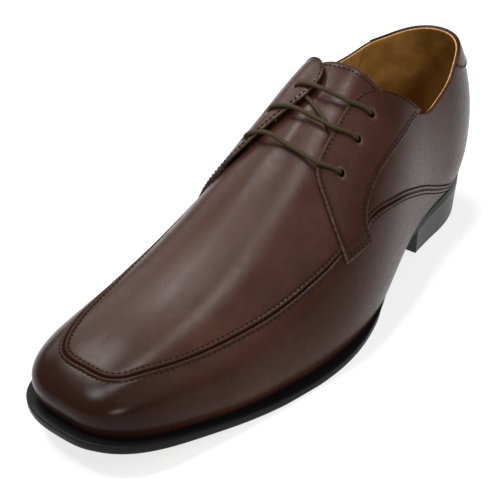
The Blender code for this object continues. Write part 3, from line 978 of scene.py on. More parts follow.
    # Soft ridges and troughs: along and across of start and end, height and width
    folds: Rows = (
        (132, 3, 160, 3.5, 0.35, 5.0),
        (176, 0, 278, 0, 0.16, 5.0),
        (178, 17, 272, 16, 0.14, 5.0),
        (120, 29.5, 158, 32, -1.7, 3.6),
        (146, 22, 155, 32, -1.2, 3.0),
    )

    def opening(self, shares: Array) -> Array:
        """The edge of the collar and the throat."""
        return self.last.ring_line(self.opening_columns, self.opening_rows, shares)

    def feather(self) -> Array:
        """The lower edge of the last, with a point for each column."""
        plan = self.last.plan_ring(0.0, 0.0, self.half_columns)
        return raised(plan, self.last.curve["feather"](plan[:, 1]))

    def column_shares(self) -> Array:
        """Even places of the columns round the ring."""
        return np.arange(2 * self.half_columns) / self.half_columns

    def tongue_end(self, place: Array) -> Array:
        """How far along the tongue ends, rounded off at its outer corner."""
        return self.tongue_top - self.corner * np.clip(place, 0, 1) ** 6

    def tongue_across(self, along: Array, place: Array) -> Array:
        """Places across of the tongue's columns: the middle line and a share of the half width.

        Args:
            along: Places along the foot.
            place: Shares of the half width, below 0 on the inner side.

        Returns:
            The places across.
        """
        held = named(self.tongue_columns, self.tongue_widths)
        width = Spline(held["along"], held["half_width"])(along)
        return self.last.curve["middle"](along) + width * place

    def relief(self, folded: Array) -> Array:
        """How much of the raised seam there is at shares of either half, 0 to 1."""
        held = named(self.seam_columns, self.seam_rows)
        return np.interp(folded, held["share"], held["relief"])

    def seam_sides(self, shares: Array) -> tuple[Array, Array]:
        """The seam line and the direction across it, along the leather towards the opening.

        Args:
            shares: Places round the ring, evenly spaced and closed.

        Returns:
            The line and unit vectors square to it.
        """
        seam = self.last.ring_line(self.seam_columns, self.seam_rows, shares)
        tangent = unit(np.roll(seam, -1, 0) - np.roll(seam, 1, 0))
        across = unit(np.cross(self.last.normals(seam), tangent))
        towards = np.sum(across * (self.opening(shares) - seam), -1, keepdims=True)
        return seam, across * np.sign(towards)

    def seam_height(self, distance: Array) -> Array:
        """Two soft welts beside a narrow groove, and a shallow dip under each stitch row.

        Args:
            distance: Distances from the seam line.

        Returns:
            Heights off the last.
        """
        away = np.abs(distance)
        welts = self.ridge_height * bell(away - self.ridge_at, self.ridge_width)
        dips = self.dip_depth * bell(away - self.stitch_at, self.dip_width)
        return welts - self.groove_depth * bell(distance, self.groove_width) - dips

    def fold_height(self, points: Array) -> Array:
        """Sum of soft ridges: a bell across each fold, faded at its ends.

        Args:
            points: Points on the last.

        Returns:
            A height for each point.
        """
        height = np.zeros(points.shape[:-1])
        plan = points[..., :2]
        for start_along, start_across, end_along, end_across, rise, width in self.folds:
            start = np.array([start_across, start_along])
            run = np.array([end_across, end_along]) - start
            length = np.linalg.norm(run)
            place = (plan - start) @ run / length
            aside = (plan - start) @ np.array([run[1], -run[0]]) / length
            fade = self.fold_fade * length
            ends = eased(-fade, fade, place) * (1 - eased(length - fade, length + fade, place))
            height += rise * bell(aside, width) * ends
        return height

    def build_leather(self) -> None:
        """The outer wall in one sheet with the tongue.

        Rows of points run from the feather line to the opening, close together at the seam.
        The inner face has the same columns and fewer rows, and the tongue goes on from the
        rows that end at the throat.
        """
        last = self.last
        shares = self.column_shares()
        feather = self.feather()
        seam, across = self.seam_sides(shares)
        opening = self.opening(shares)
        folded = np.minimum(shares, 2 - shares)
        relief = self.relief(folded)
        room = self.band_room * np.linalg.norm(seam - feather, axis=1) / self.seam_reach
        turn = np.linspace(-1, 1, self.band_rows)
        offsets = self.seam_reach * np.sign(turn) * np.abs(turn) ** self.band_power
        distance = offsets[:, None] * np.where(offsets[:, None] < 0, np.clip(room, 0, 1), 1.0)
        band = last.drawn(seam + across * distance[..., None])
        steps = np.linspace(0, 1, self.lower_rows + 1)[:-1, None, None]
        lower = last.drawn(feather + (band[0] - feather) * steps)
        lower[0] = feather
        steps = np.linspace(0, 1, self.higher_rows + 1)[1:, None, None]
        higher = last.drawn(band[-1] + (opening - band[-1]) * steps)
        throat = eased(self.throat_share - self.throat_fade, self.throat_share, folded)
        down = unit(higher[-2] - opening)
        rows = named(self.rim_columns, self.rim_rows)
        rim = last.drawn(opening + down * rows["below"][:, None, None])
        surface = np.concatenate([lower, band, higher[:-1], rim])
        height = np.zeros(surface.shape[:-1])
        in_band = slice(len(lower), len(lower) + len(band))
        height[in_band] = relief * self.seam_height(distance)
        height[-len(rim):] = -rows["under"][:, None] * (1 - throat)
        height += self.fold_height(surface)
        shade = np.zeros_like(height)
        dark, width = self.groove_shade
        groove = dark * bell(distance, width)
        dark, width = self.stitch_shade
        shade[in_band] = relief * (groove + dark * bell(np.abs(distance) - self.stitch_at, width))
        above = np.linalg.norm(surface - feather, axis=-1)
        dark, width = self.foot_shade
        shade = np.maximum(shade, dark * (1 - eased(0.0, width, above)))
        # Painted shade that darkens the toe, most on its wall below the seam and less on the apron's tip
        wall = np.zeros_like(height)
        wall[:len(lower)] = 1.0
        wall[in_band] = 1 - eased(-self.wall_fade, 0.0, distance)
        toe_shade_share = self.toe_shade * (wall + self.tip_shade * (1 - wall))
        shade = np.maximum(shade, toe_shade_share * eased(*self.toe_shade_run, surface[..., 1]))
        maker = MeshMaker()
        outer = maker.add(last.pushed(surface, height), shade=shade)
        maker.skin(outer, closed=True)
        steps = np.linspace(1, 0, self.inner_rows)[:, None, None]
        inside = last.drawn(feather + (rim[-1] - feather) * steps)
        inside[-1] = feather
        inner = maker.add(last.pushed(inside, -self.leather), shade=1.0)
        maker.skin(inner, closed=True)
        maker.skin(np.stack([outer[0], inner[-1]]), closed=True)
        first = int(round(self.throat_share * self.half_columns))
        front = np.arange(first, 2 * self.half_columns - first + 1)
        rest = np.mod(np.arange(front[-1], front[-1] + 2 * first + 1), len(shares))
        maker.skin(np.stack([outer[-1, rest], inner[0, rest]]))
        self.add_tongue(maker, outer[-1, front], inner[0, front], opening[front])
        maker.make("upper_leather", self.finishes.upper.material(), ("upper", "tongue"))

    def add_tongue(self, maker: MeshMaker, outer_front: Numbers, inner_front: Numbers,
                   throat: Array) -> None:
        """Carry the vamp on from the throat to the tongue's top edge.

        A column keeps its share of the tongue's half width while it runs back.

        Args:
            maker: The mesh with the vamp.
            outer_front: Numbers of the vamp's outer points at the throat.
            inner_front: Numbers of the inner points there.
            throat: Points of the throat's edge.
        """
        last = self.last
        aside = throat[:, 0] - last.curve["middle"](throat[:, 1])
        place = np.where(aside > 0, aside / aside.max(), aside / -aside.min())
        top = self.tongue_end(place)
        edge = np.array(self.tongue_edge) / (throat[0, 1] - self.tongue_top)
        steps = np.concatenate([np.linspace(0, 1, self.tongue_rows)[1:-1], 1 - edge[::-1]])
        steps = np.sort(steps)[:, None]
        along = throat[:, 1] + (top - throat[:, 1]) * steps
        target = self.tongue_across(along, place)
        across = throat[:, 0] + (target - throat[:, 0]) * eased(0.0, self.tongue_ease, steps)
        surface = last.top(across, along)
        from_top = along - top
        from_hem = from_top - self.hem
        height = self.fold_height(surface) - self.hem_drop * bell(from_top, self.hem_crease)
        fold = 1 - eased(0.0, self.hem_slope, from_hem) - bell(from_hem, self.hem_crease)
        height += self.hem_step * fold
        # Painted shade along the hem's crease, and as much wear lightening the top edge
        shade, worn = (self.hem_shade_and_wear * bell(away, self.hem_shade_and_wear_width) for away in (from_hem, from_top))
        new_outer = maker.add(last.pushed(surface, height), shade=shade, edge=worn)
        new_inner = maker.add(last.pushed(surface, -self.leather), shade=1.0)
        outer = np.concatenate([outer_front[None], new_outer])
        inner = np.concatenate([inner_front[None], new_inner])
        maker.sheet(outer, inner, left_open=1)

    def build_lining(self) -> None:
        """The lining inside the leather, its cut edge just below the rim of the collar."""
        last = self.last
        # The lower edge is raised by as much as all rows are lowered from the rim
        feather = self.feather() + self.lining_drop * np.array(UPWARD)
        opening = self.opening(self.column_shares())
        down = unit(feather - opening)
        steps = np.concatenate([self.lining_close, np.linspace(0.05, 1, self.lining_rows)])
        rows = last.drawn(opening + down * self.lining_drop + (feather - opening) * steps[:, None, None])
        edge = bell(steps, self.lining_edge)[:, None]
        deep = self.lining - self.lining_round * edge
        inner_side = rows[..., 0] < last.curve["middle"](rows[..., 1])
        panel = inner_side * eased(-0.5, 0.5, rows[..., 1] - self.panel_seam)
        seam = inner_side * bell(rows[..., 1] - self.panel_seam, self.panel_width)
        # Painted shade deeper inside the shoe, and a darker line along the panel's seam
        shade = np.maximum(eased(*self.lining_depth_shade, steps)[:, None], self.panel_shade * seam)
        maker = MeshMaker()
        inner = maker.add(last.pushed(rows, -deep), edge=np.maximum(edge, panel), shade=shade)
        outer = maker.add(last.pushed(rows, -self.leather - self.lining_gap), edge=edge)
        maker.skin(inner, closed=True)
        maker.skin(outer, closed=True)
        for row in (0, -1):
            maker.skin(np.stack([inner[row], outer[row]]), closed=True)
        maker.make("collar_lining", self.finishes.lining.material())

    def hem_thread(self) -> Array:
        """The stitch row of the tongue's hem, as points and normals.

        Returns:
            Points and normals side by side in six columns.
        """
        place = np.linspace(-0.95, 0.95, 80)
        along = self.tongue_end(place) + self.hem
        return self.last.with_normals(self.last.top(self.tongue_across(along, place), along))

    def seam_rows_of_thread(self) -> list[Array]:
        """Lines of the stitch rows on both sides of the apron seam, with their normals.

        Returns:
            For each unbroken row, points and normals side by side in six columns.
        """
        shares = self.column_shares()
        seam, across = self.seam_sides(shares)
        rows = []
        for offset in (-self.stitch_at, self.stitch_at):
            line = self.last.with_normals(self.last.drawn(seam + across * offset))
            for low, high in self.stitched:
                rows.append(line[(shares > low) & (shares < high)])
        return rows


# Facings, strap and thread


@dataclass
class Facing:
    """An eyelet facing laid over the quarter, free along the throat, with three punched holes."""

    last: Last
    finishes: Finishes
    side: Side
    thickness: float = 1.3
    crease_at: float = 1.7
    rear_rows: tuple[float, float] = (1.1, 2.9)
    tab_rows: tuple[float, float, float] = (1.7, 3.5, 7.0)
    edge_round: float = 0.4
    hole: float = 1.95
    inner_top_shift: float = 10.0
    grid: tuple[int, int] = (150, 64)
    # Shares of the length at which the rows next to an end lie
    close_rows: tuple[float, ...] = (0.0, 0.004, 0.010, 0.018, 0.028)
    crease_width: float = 0.35
    crease_depth: float = 0.2
    crease_shade: float = 0.8
    dimple_depth: float = 0.35
    dimple_width: float = 0.8
    worn_width: float = 0.5
    edge_worn: float = 0.8
    rim_worn: float = 0.6
    row_at: float = 2.4
    row_width: float = 1.0
    row_shade: float = 0.35
    end_share: float = 0.1
    far_away: float = 99.0
    punch_sides: int = 28
    punch_heights: tuple[float, ...] = (-1.0, 3.0, 8.0)
    columns: str = (
        "share front_along front_across front_up rear_along rear_across rear_up "
        "lift inner_lift inner_shift")
    rows: Rows = (
        (0.00, 114, 25, 109, 86.5, 33.5, 92, 0.6, 1.8, 4.5),
        (0.10, 121, 21, 109, 97, 35.5, 90.5, 1.0, 2.3, 4.3),
        (0.22, 131, 19.5, 106, 108, 38, 88.5, 1.4, 2.5, 3.0),
        (0.40, 144, 20.5, 99, 127, 40.5, 84, 1.5, 2.5, -1.5),
        (0.56, 156, 22, 92, 141, 42.6, 78, 1.5, 2.3, -7.0),
        (0.66, 163, 25, 87, 148, 44.5, 73.5, 1.4, 2.0, -8.5),
        (0.78, 169, 34, 77.5, 153.5, 46.8, 67.5, 0.8, 1.2, -5.5),
        (0.90, 173, 43, 65, 155, 49.5, 60.5, 0.3, 0.4, -1.5),
        (1.00, 174, 50.5, 52.5, 152.5, 51.5, 55.5, 0.0, 0.0, 0.0),
    )
    # Along and across of each eyelet on the two sides, and its share of the facing's length
    eyelet_columns: str = "outer_along outer_across inner_along inner_across share"
    eyelet_rows: Rows = (
        (125.0, 27.5, 129.5, -8.5, 0.25),
        (138.5, 29.2, 141.5, -15.5, 0.43),
        (155.0, 31.6, 155.5, -20.0, 0.63),
    )

    def lift(self, share: Array, step: Array) -> Array:
        """Height off the last: the outer facing's edge stands up, the inner one stands off in a bow.

        Args:
            share: Places from the top, 0, to the tip, 1.
            step: Places from the front edge, 0, to the rear edge, 1.

        Returns:
            The heights.
        """
        held = named(self.columns, self.rows)
        if self.side is Side.OUTER:
            return GAP + np.interp(share, held["share"], held["lift"]) * (1 - step) ** 2
        return GAP + np.interp(share, held["share"], held["inner_lift"]) * (1 - step**3)

    def top_at(self, share: float, step: float) -> float:
        """Height of the facing's outer face above the last."""
        return float(self.lift(np.array(share), np.array(step))) + self.thickness

    def surface(self, share: Array, step: Array) -> Array:
        """Points of the facing's place on the last.

        Guide points lie on straight lines from the front edge to the rear edge.

        Args:
            share: Places from the top, 0, to the tip, 1.
            step: Places from the front edge, 0, to the rear edge, 1.

        Returns:
            Points on the last.
        """
        held = named(self.columns, self.rows)
        curve = {name: Spline(held["share"], values)(share) for name, values in held.items()}
        front = np.stack([curve["front_across"], curve["front_along"], curve["front_up"]], -1)
        rear = np.stack([curve["rear_across"], curve["rear_along"], curve["rear_up"]], -1)
        guides = front + (rear - front) * step[..., None]
        if self.side is Side.INNER:
            guides = self.last.mirrored(guides)
            guides[..., 0] += curve["inner_shift"] * (1 - step)
            guides[..., 1] += self.inner_top_shift * (1 - share) ** 2 * step
        return self.last.drawn(guides)

    def eyelets(self) -> Array:
        """Along, across and share of each eyelet on this side, from the top down.

        Returns:
            A row for each eyelet.
        """
        held = named(self.eyelet_columns, self.eyelet_rows)
        side = "outer" if self.side is Side.OUTER else "inner"
        return np.stack([held[side + "_along"], held[side + "_across"], held["share"]], -1)

    def over(self, along: float, across: float, height: float) -> Array:
        """A point over a place in plan, at a height above the last."""
        return self.last.pushed(self.last.top(np.array([across]), np.array([along])), height)[0]

    def build(self, name: str, node: str) -> None:
        """Two faces over the same grid with rounded edges, then the eyelets cut out.

        Args:
            name: The piece's name.
            node: The CAD node that it replaces.
        """
        fine = np.array(self.close_rows)
        share = np.concatenate([fine, np.linspace(0.04, 0.96, self.grid[0]), 1 - fine[::-1]])
        step = np.concatenate([2 * fine, np.linspace(0.07, 0.93, self.grid[1]), 1 - 2 * fine[::-1]])
        share, step = np.meshgrid(share, step, indexing="ij")
        surface = self.surface(share, step)
        wide = np.linalg.norm(surface[:, -1] - surface[:, 0], axis=-1)[:, None]
        rows = np.linalg.norm(np.diff(surface, axis=0), axis=-1)
        down = np.concatenate([np.zeros((1, share.shape[1])), np.cumsum(rows, 0)])
        border = np.minimum(np.minimum(step, 1 - step) * wide, np.minimum(down, down[-1] - down))
        inset = np.clip(self.edge_round - border, 0, None)
        drop = self.edge_round - np.sqrt(np.clip(self.edge_round**2 - inset**2, 0, None))
        holes = np.full(share.shape, self.far_away)
        for along, across, _ in self.eyelets():
            holes = np.minimum(holes, np.hypot(surface[..., 0] - across, surface[..., 1] - along))
        lift = self.lift(share, step)
        dimple = self.dimple_depth * bell(np.clip(holes - self.hole, 0, None), self.dimple_width)
        crease = bell(np.minimum(step * wide, down) - self.crease_at, self.crease_width)
        height = lift + self.thickness - drop - dimple - self.crease_depth * crease
        rims = bell(holes - self.hole, self.worn_width)
        edge = np.maximum(self.edge_worn * bell(border, self.worn_width), self.rim_worn * rims)
        row = self.row_shade * bell(border - self.row_at, self.row_width)
        shade = np.maximum(row, self.crease_shade * crease)
        maker = MeshMaker()
        outer = maker.add(self.last.pushed(surface, height), edge=edge, shade=shade)
        inner = maker.add(self.last.pushed(surface, lift), shade=1.0)
        maker.sheet(outer, inner)
        piece = maker.make(name, self.finishes.upper.material(), (node,))
        for along, across, _ in self.eyelets():
            self.punch(piece, along, across)

    def punch(self, piece: bpy.types.Object, along: float, across: float) -> None:
        """Cut a round hole through the facing and keep the result as its mesh.

        Args:
            piece: The facing's object.
            along: The hole's place along.
            across: Its place across.
        """
        path = np.stack([self.over(along, across, height) for height in self.punch_heights])
        maker = MeshMaker()
        radius = np.full(len(path), self.hole)
        maker.tube(path, round_rings(path, radius, self.punch_sides, FORWARD))
        cutter = placed("punch", maker.mesh("punch"))
        cut = piece.modifiers.new("eyelet", "BOOLEAN")
        cut.object = cutter
        bpy.context.view_layer.update()
        whole = piece.evaluated_get(bpy.context.evaluated_depsgraph_get())
        result = bpy.data.meshes.new_from_object(whole)
        piece.modifiers.clear()
        piece.data = result
        bpy.data.objects.remove(cutter)

    def thread_lines(self) -> list[Array]:
        """Double stitch rows inside the rear edge, rows over the tab, and one along each free edge.

        Returns:
            For each row, points and normals side by side in six columns.
        """
        places = np.linspace(0, 1, 200)
        steps = np.linspace(0.1, 0.9, 40)
        ends = np.zeros_like(steps)
        down = np.linspace(0.04, 0.95, 160)
        across = self.surface(places, np.ones_like(places)) - self.surface(places, np.zeros_like(places))
        wide = np.interp(down, places, np.linalg.norm(across, axis=-1))
        top, tab = (self.surface(ends + near, steps) - self.surface(ends + far, steps)
                    for near, far in ((self.end_share, 0), (1 - self.end_share, 1)))
        top, tab = (self.end_share / np.linalg.norm(run, axis=-1) for run in (top, tab))
        rows = [(down, 1 - inside / wide) for inside in self.rear_rows]
        rows += [(1 - inside * tab, steps) for inside in self.tab_rows]
        rows += [(down, self.crease_at / wide), (self.crease_at * top, steps)]
        return [self.last.with_normals(self.surface(share, step), self.lift(share, step) + self.thickness)
                for share, step in rows]


@dataclass
class BackStrap:
    """The strap over the top of the back seam."""

    upper: Upper
    thickness: float = 0.5
    top_share: float = 0.03
    columns: str = "share drop"
    rows: Rows = ((0.00, 26), (0.05, 24), (0.10, 19), (0.13, 11), (0.148, 2))
    grid: tuple[int, int] = (160, 40)
    low_steps: tuple[float, ...] = (0.96, 0.98, 0.99, 1.0)
    top_round: float = 0.02
    edge_drop: float = 0.5
    edge_round: float = 0.3
    edge_worn: float = 0.5
    worn_width: float = 0.4
    row_at: float = 2.0
    row_width: float = 0.8
    row_shade: float = 0.3
    # Height of the inner face as a share of the gap
    under: float = 0.3
    thread_step: float = 0.9
    thread_reach: float = 0.97

    def surface(self, shares: Array, steps: Array) -> Array:
        """Points between the collar's edge and a line that drops below it, on the last.

        Args:
            shares: Places round the collar.
            steps: Places from its edge, 0, to the lower line, 1.

        Returns:
            Points, a row for each step.
        """
        held = named(self.columns, self.rows)
        top = self.upper.opening(shares)
        bottom = np.array(top)
        bottom[:, 2] -= Spline(held["share"], held["drop"])(np.abs(shares))
        return self.upper.last.drawn(top + (bottom - top) * steps[:, None, None])

    def build(self) -> None:
        """A thin sheet with rounded edges over the quarters' back."""
        last = self.upper.last
        reach = self.rows[-1][0]
        shares = np.linspace(-reach, reach, self.grid[0])
        steps = np.linspace(0.05, 0.93, self.grid[1])
        steps = np.concatenate([[self.top_share], steps, self.low_steps])
        surface = self.surface(shares, steps)
        length = np.linalg.norm(surface[-1] - surface[0], axis=-1)
        border = np.minimum(1 - steps, steps - self.top_share + self.top_round)[:, None] * length
        height = GAP + self.thickness - self.edge_drop * bell(border, self.edge_round)
        worn = self.edge_worn * bell(border, self.worn_width)
        shade = self.row_shade * bell(border - self.row_at, self.row_width)
        maker = MeshMaker()
        outer = maker.add(last.pushed(surface, height), edge=worn, shade=shade)
        inner = maker.add(last.pushed(surface, GAP * self.under), shade=1.0)
        maker.sheet(outer, inner)
        maker.make("heel_strap", self.upper.finishes.upper.material(), ("back_strap",))

    def thread_line(self) -> Array:
        """The stitch row along the strap's lower edge, as points and normals.

        Returns:
            Points and normals side by side in six columns.
        """
        reach = self.rows[-1][0] * self.thread_reach
        line = self.surface(np.linspace(-reach, reach, 120), np.array([self.thread_step]))[0]
        return self.upper.last.with_normals(line, GAP + self.thickness)


@dataclass
class Thread:
    """Rows of stitches: each one a small capsule that dips into the leather at its ends."""

    finishes: Finishes
    pitch: float = 2.5
    length: float = 1.8
    radius: float = 0.33
    sides: int = 6
    rings: tuple[float, ...] = (-1.0, -0.8, -0.4, 0.0, 0.4, 0.8, 1.0)
    blunt: float = 1.02
    rise: float = 0.16
    sink: float = 0.5

    def build(self, name: str, lines: Sequence[Array], slot: Slot) -> None:
        """Lay capsules end to end along lines of points and normals.

        A capsule's rings shrink as the square root of a parabola along it, and its ends sink.

        Args:
            name: The piece's name.
            lines: Points and normals in six columns.
            slot: The record's slot that the thread belongs to; not used.
        """
        maker = MeshMaker()
        along = np.array(self.rings)
        size = self.radius * np.sqrt(np.clip(self.blunt - along**2, 0.0, None))
        rise = self.rise - self.sink * along**4
        turn = np.arange(self.sides) * 2 * np.pi / self.sides
        for line in lines:
            long = travelled(line[:, :3])[-1]
            count = int(long / self.pitch)
            spots = read_at(line, (np.arange(count) + 0.5) * long / count)
            centre, normal = spots[:, :3], unit(spots[:, 3:])
            ahead = np.gradient(centre, axis=0) if count > 1 else np.ones_like(centre)
            ahead = unit(ahead - normal * np.sum(ahead * normal, -1, keepdims=True))
            aside = np.cross(normal, ahead)
            axis = centre[:, None] + ahead[:, None] * (along * self.length / 2)[:, None]
            axis = axis + normal[:, None] * rise[:, None]
            ring = aside[:, None, :] * np.cos(turn)[:, None] + normal[:, None, :] * np.sin(turn)[:, None]
            points = axis[:, :, None] + size[:, None, None] * ring[:, None]
            # Painted highlight on the upper side of each stitch, away from the leather
            grid = maker.add(points, crown=np.sin(turn) > 0.5)
            quads = np.stack([grid[:, :-1], np.roll(grid, -1, 2)[:, :-1],
                              np.roll(grid, -1, 2)[:, 1:], grid[:, 1:]], -1)
            maker.faces += quads.reshape(-1, 4).tolist()
            maker.faces += grid[:, 0].tolist() + grid[:, -1].tolist()
        maker.make(name, self.finishes.thread.material())


# Laces


def round_rings(path: Array, radius: Array, sides: int, square_to: tuple[float, float, float]) -> Array:
    """Circles square to a path: cosine and sine of a turn on two vectors square to its tangent.

    Args:
        path: Points of the path.
        radius: Radius at each point, or at each point and side.
        sides: Points on each ring.
        square_to: A direction that the path never takes.

    Returns:
        Points, ring by ring.
    """
    tangent = unit(np.gradient(path, axis=0))
    aside = unit(np.cross(tangent, square_to))
    lift = np.cross(aside, tangent)
    turn = np.arange(sides) * 2 * np.pi / sides
    ring = aside[:, None] * np.cos(turn)[:, None] + lift[:, None] * np.sin(turn)[:, None]
    return path[:, None] + ring * np.reshape(radius, (len(path), -1, 1))


@dataclass
class Lace:
    """Round braided lace in straight bars, joined under the facings by hidden runs."""

    outer: Facing
    inner: Facing
    finishes: Finishes
    radius: float = 1.1
    eyelet_step: float = 0.45
    slack: float = 0.6
    inward: dict[Side, float] = field(default_factory=lambda: {Side.OUTER: 1.0, Side.INNER: 1.6})
    forward: dict[Side, float] = field(default_factory=lambda: {Side.OUTER: 1.0, Side.INNER: 0.3})
    facing_width: float = 22.0
    spacing: float = 0.3
    sides: int = 20
    yarn: float = 2.4
    weave_depth: float = 0.05
    # Heights of the knots in an eyelet, from the hidden end up
    sunk: tuple[float, ...] = (-3.2, -1.6, -0.3)
    # How far in from its eyelet and forwards a bar passes, and its height as a share of the radius
    knots: Rows = ((0.9, 0.4, 0.45), (2.6, 1.3, 0.95), (5.5, 2.9, 1.05), (9.2, 4.8, 1.1))
    # Along, across and height of the run over the tongue, from one facing to the other
    slant: Rows = (
        (130.0, -12.0, 0.9), (132.5, -6.0, 1.3), (135.6, 0.8, 1.35), (140.0, 9.8, 1.3),
        (144.2, 18.8, 1.2), (149.0, 25.5, 0.3), (154.0, 31.0, -0.6),
    )

    def bar_end(self, facing: Facing, number: int) -> list[Array]:
        """Knots of a bar from under its eyelet, up through it and over the facing's edge.

        Args:
            facing: The facing that it leaves.
            number: The eyelet's number, from the top.

        Returns:
            Points from the hidden end on.
        """
        along, across, share = facing.eyelets()[number]
        hole = facing.top_at(share, self.eyelet_step)
        start = across - facing.side.value * self.slack
        knots = [facing.over(along, start, hole + rise) for rise in self.sunk]
        for inward, forward, lift in self.knots:
            reach = inward * self.inward[facing.side]
            top = facing.top_at(share, self.eyelet_step - reach / self.facing_width)
            place = across - facing.side.value * reach
            ahead = along + forward * self.forward[facing.side]
            knots.append(facing.over(ahead, place, top + self.radius * lift))
        return knots

    def bar(self, number: int) -> Array:
        """The path of one bar: over both facings and straight between their edges.

        Args:
            number: The number of its eyelets, from the top.

        Returns:
            Knots of the path.
        """
        ends = [self.bar_end(facing, number) for facing in (self.outer, self.inner)]
        first, last = ends[0][-1], ends[1][-1]
        straight = [first + (last - first) * step for step in (0.33, 0.67)]
        return np.array([*ends[0], *straight, *ends[1][::-1]])

    def run(self, places: Rows) -> Array:
        """A path over or under the leather through places along and across and their heights."""
        return np.array([self.outer.over(along, across, height) for along, across, height in places])

    def hidden_runs(self) -> list[Array]:
        """Runs under the facings: from the lower to the middle eyelet inside, and up outside.

        Returns:
            Knots of the two runs.
        """
        upper, middle, _ = self.outer.eyelets()[:, :2]
        inside = self.inner.eyelets()[:0:-1, :2]
        inside_run = [(*inside[0], 0.9), (*inside.mean(0), 1.2), (*inside[1], 0.9)]
        bend = (middle[0] - 6, middle[1] - 0.2, -1.0)
        outside_run = [(*middle, -0.8), bend, (upper[0] + 2, upper[1], -0.8)]
        return [self.run(inside_run), self.run(outside_run)]

    def build(self) -> None:
        """Bars and runs as tubes with the yarns' crossing relief.

        The radius swells where two sets of yarns, wound in opposite ways, cross.
        """
        paths = [(self.bar(number), FORWARD) for number in range(len(self.outer.eyelet_rows))]
        paths += [(run, UPWARD) for run in (self.run(self.slant), *self.hidden_runs())]
        maker = MeshMaker()
        turn = np.arange(self.sides) * 2 * np.pi / self.sides
        for knots, square_to in paths:
            path = smooth_path(knots, self.spacing)
            place = 2 * np.pi * travelled(path)[:, None] / self.yarn
            weave = np.sin(4 * turn + place) * np.sin(4 * turn - place)
            rings = round_rings(path, self.radius * (1 + self.weave_depth * weave), self.sides, square_to)
            # Painted highlight where the yarns swell and painted shade in the hollows between them
            maker.tube(path, rings, crown=weave * 0.5 + 0.5)
        nodes = [f"lace_bar_{label}" for label in ("upper", "middle", "lower")]
        maker.make("lace", self.finishes.lace.material(), (*nodes, "lace_slant"))


# Bottom


@dataclass
class Bottom:
    """The outsole, the block heel and the footbed."""

    last: Last
    finishes: Finishes
    count: int = 260
    thickness: float = 5.0
    breast: float = 78.0
    seat_gap: float = 0.04
    heel_points: int = 90
    insole_inset: float = 3.4
    sole_ladder: int = 12
    insole_ladder: int = 10
    # Height and inset of the footbed's rings
    insole_rows: Rows = ((0.0, 0.0), (1.5, 0.0), (1.85, 0.2), (2.0, 0.7))
    breast_fade: float = 15.0
    # Where a ring of the sole's edge lies: share of the thickness, drop from it, inset from the edge
    edge_rows: Rows = (
        (1.0, 0.0, 4.0), (1.0, 0.0, 0.75), (1.0, 0.10, 0.35), (1.0, 0.32, 0.1), (1.0, 0.7, 0.0),
        (0.75, 0.0, 0.0), (0.5, 0.0, 0.0), (0.32, 0.0, 0.05), (0.2, 0.0, 0.25), (0.1, 0.0, 0.6),
        (0.03, 0.0, 1.1), (0.0, 0.0, 1.6),
    )
    heel_rows: Rows = (
        (1.0, 0.0, 0.0), (0.93, 0.1, 0.15), (0.5, 0.7, 1.2), (0.1, 1.05, 2.4), (0.04, 1.15, 2.5),
        (0.0, 1.5, 2.8),
    )
    waist_columns: str = "along draw"
    waist_rows: Rows = ((78, 0.0), (94, 3.0), (118, 3.0), (148, 0.0))

    def sole_top(self, along: Array) -> Array:
        """Height of the outsole's upper face."""
        return self.last.curve["feather"](along) - GAP

    def sole_bottom(self, along: Array) -> Array:
        """Height of the outsole's lower face, flat on the floor under the ball."""
        return np.maximum(self.sole_top(along) - self.thickness, 0)

    def build_outsole(self) -> None:
        """Rings of the edge's profile carried round the feather line."""
        rings = []
        waist = named(self.waist_columns, self.waist_rows)
        along = self.last.plan_ring(0.0, 0.0, self.count)[:, 1]
        drawn_in = np.interp(along, waist["along"], waist["draw"])
        for share, drop, inset in self.edge_rows:
            faded = inset * eased(self.breast, self.breast + self.breast_fade, along)
            tuck_in = np.where(share < 0.5, faded, inset)
            plan = self.last.plan_ring(-tuck_in - drawn_in * (1 - share), 1.0, self.count)
            top, low = self.sole_top(plan[:, 1]), self.sole_bottom(plan[:, 1])
            rings.append(raised(plan, low + (top - low) * share - drop))
        bare = np.array([[share == 0] for share, _, _ in self.edge_rows], float)
        maker = MeshMaker()
        maker.slab(np.array(rings), self.sole_ladder, bare=bare)
        maker.make("sole", self.finishes.edge.material(), ("outsole",))

    def build_heel(self) -> None:
        """The sole's edge behind the breast, drawn in ring by ring down to the floor."""
        rings = []
        for share, inset, set_back in self.heel_rows:
            ring = self.last.plan_ring(-inset, 1.0, self.count)
            breast = self.breast - set_back
            halves = []
            for half in (ring[:self.count + 1], np.roll(ring, -1, 0)[:self.count - 2:-1]):
                kept = half[half[:, 1] < breast]
                after = half[len(kept)]
                last = kept[-1] + (after - kept[-1]) * (breast - kept[-1, 1]) / (after[1] - kept[-1, 1])
                halves.append(even(np.vstack([kept, last]), self.heel_points))
            plan = np.concatenate([halves[0], halves[1][:0:-1]])
            up = (self.sole_bottom(plan[:, 1]) - self.seat_gap) * share
            rings.append(raised(plan, up))
        maker = MeshMaker()
        grid = maker.add(np.array(rings))
        maker.skin(grid, closed=True)
        half = self.heel_points
        for ring in (grid[0], grid[-1]):
            maker.skin(np.stack([ring[:half + 1], np.concatenate([ring[:1], ring[:half:-1]])]))
        maker.make("block_heel", self.finishes.heel.material(), ("heel",))

    def build_insole(self) -> None:
        """The footbed, with a rounded upper edge."""
        rings = []
        for height, inset in self.insole_rows:
            plan = self.last.plan_ring(-self.insole_inset - inset, 0.0, self.count)
            rings.append(raised(plan, self.last.curve["feather"](plan[:, 1]) + height))
        maker = MeshMaker()
        maker.slab(np.array(rings), self.insole_ladder)
        maker.make("footbed", self.finishes.insole.material(), ("insole",))


# Studio


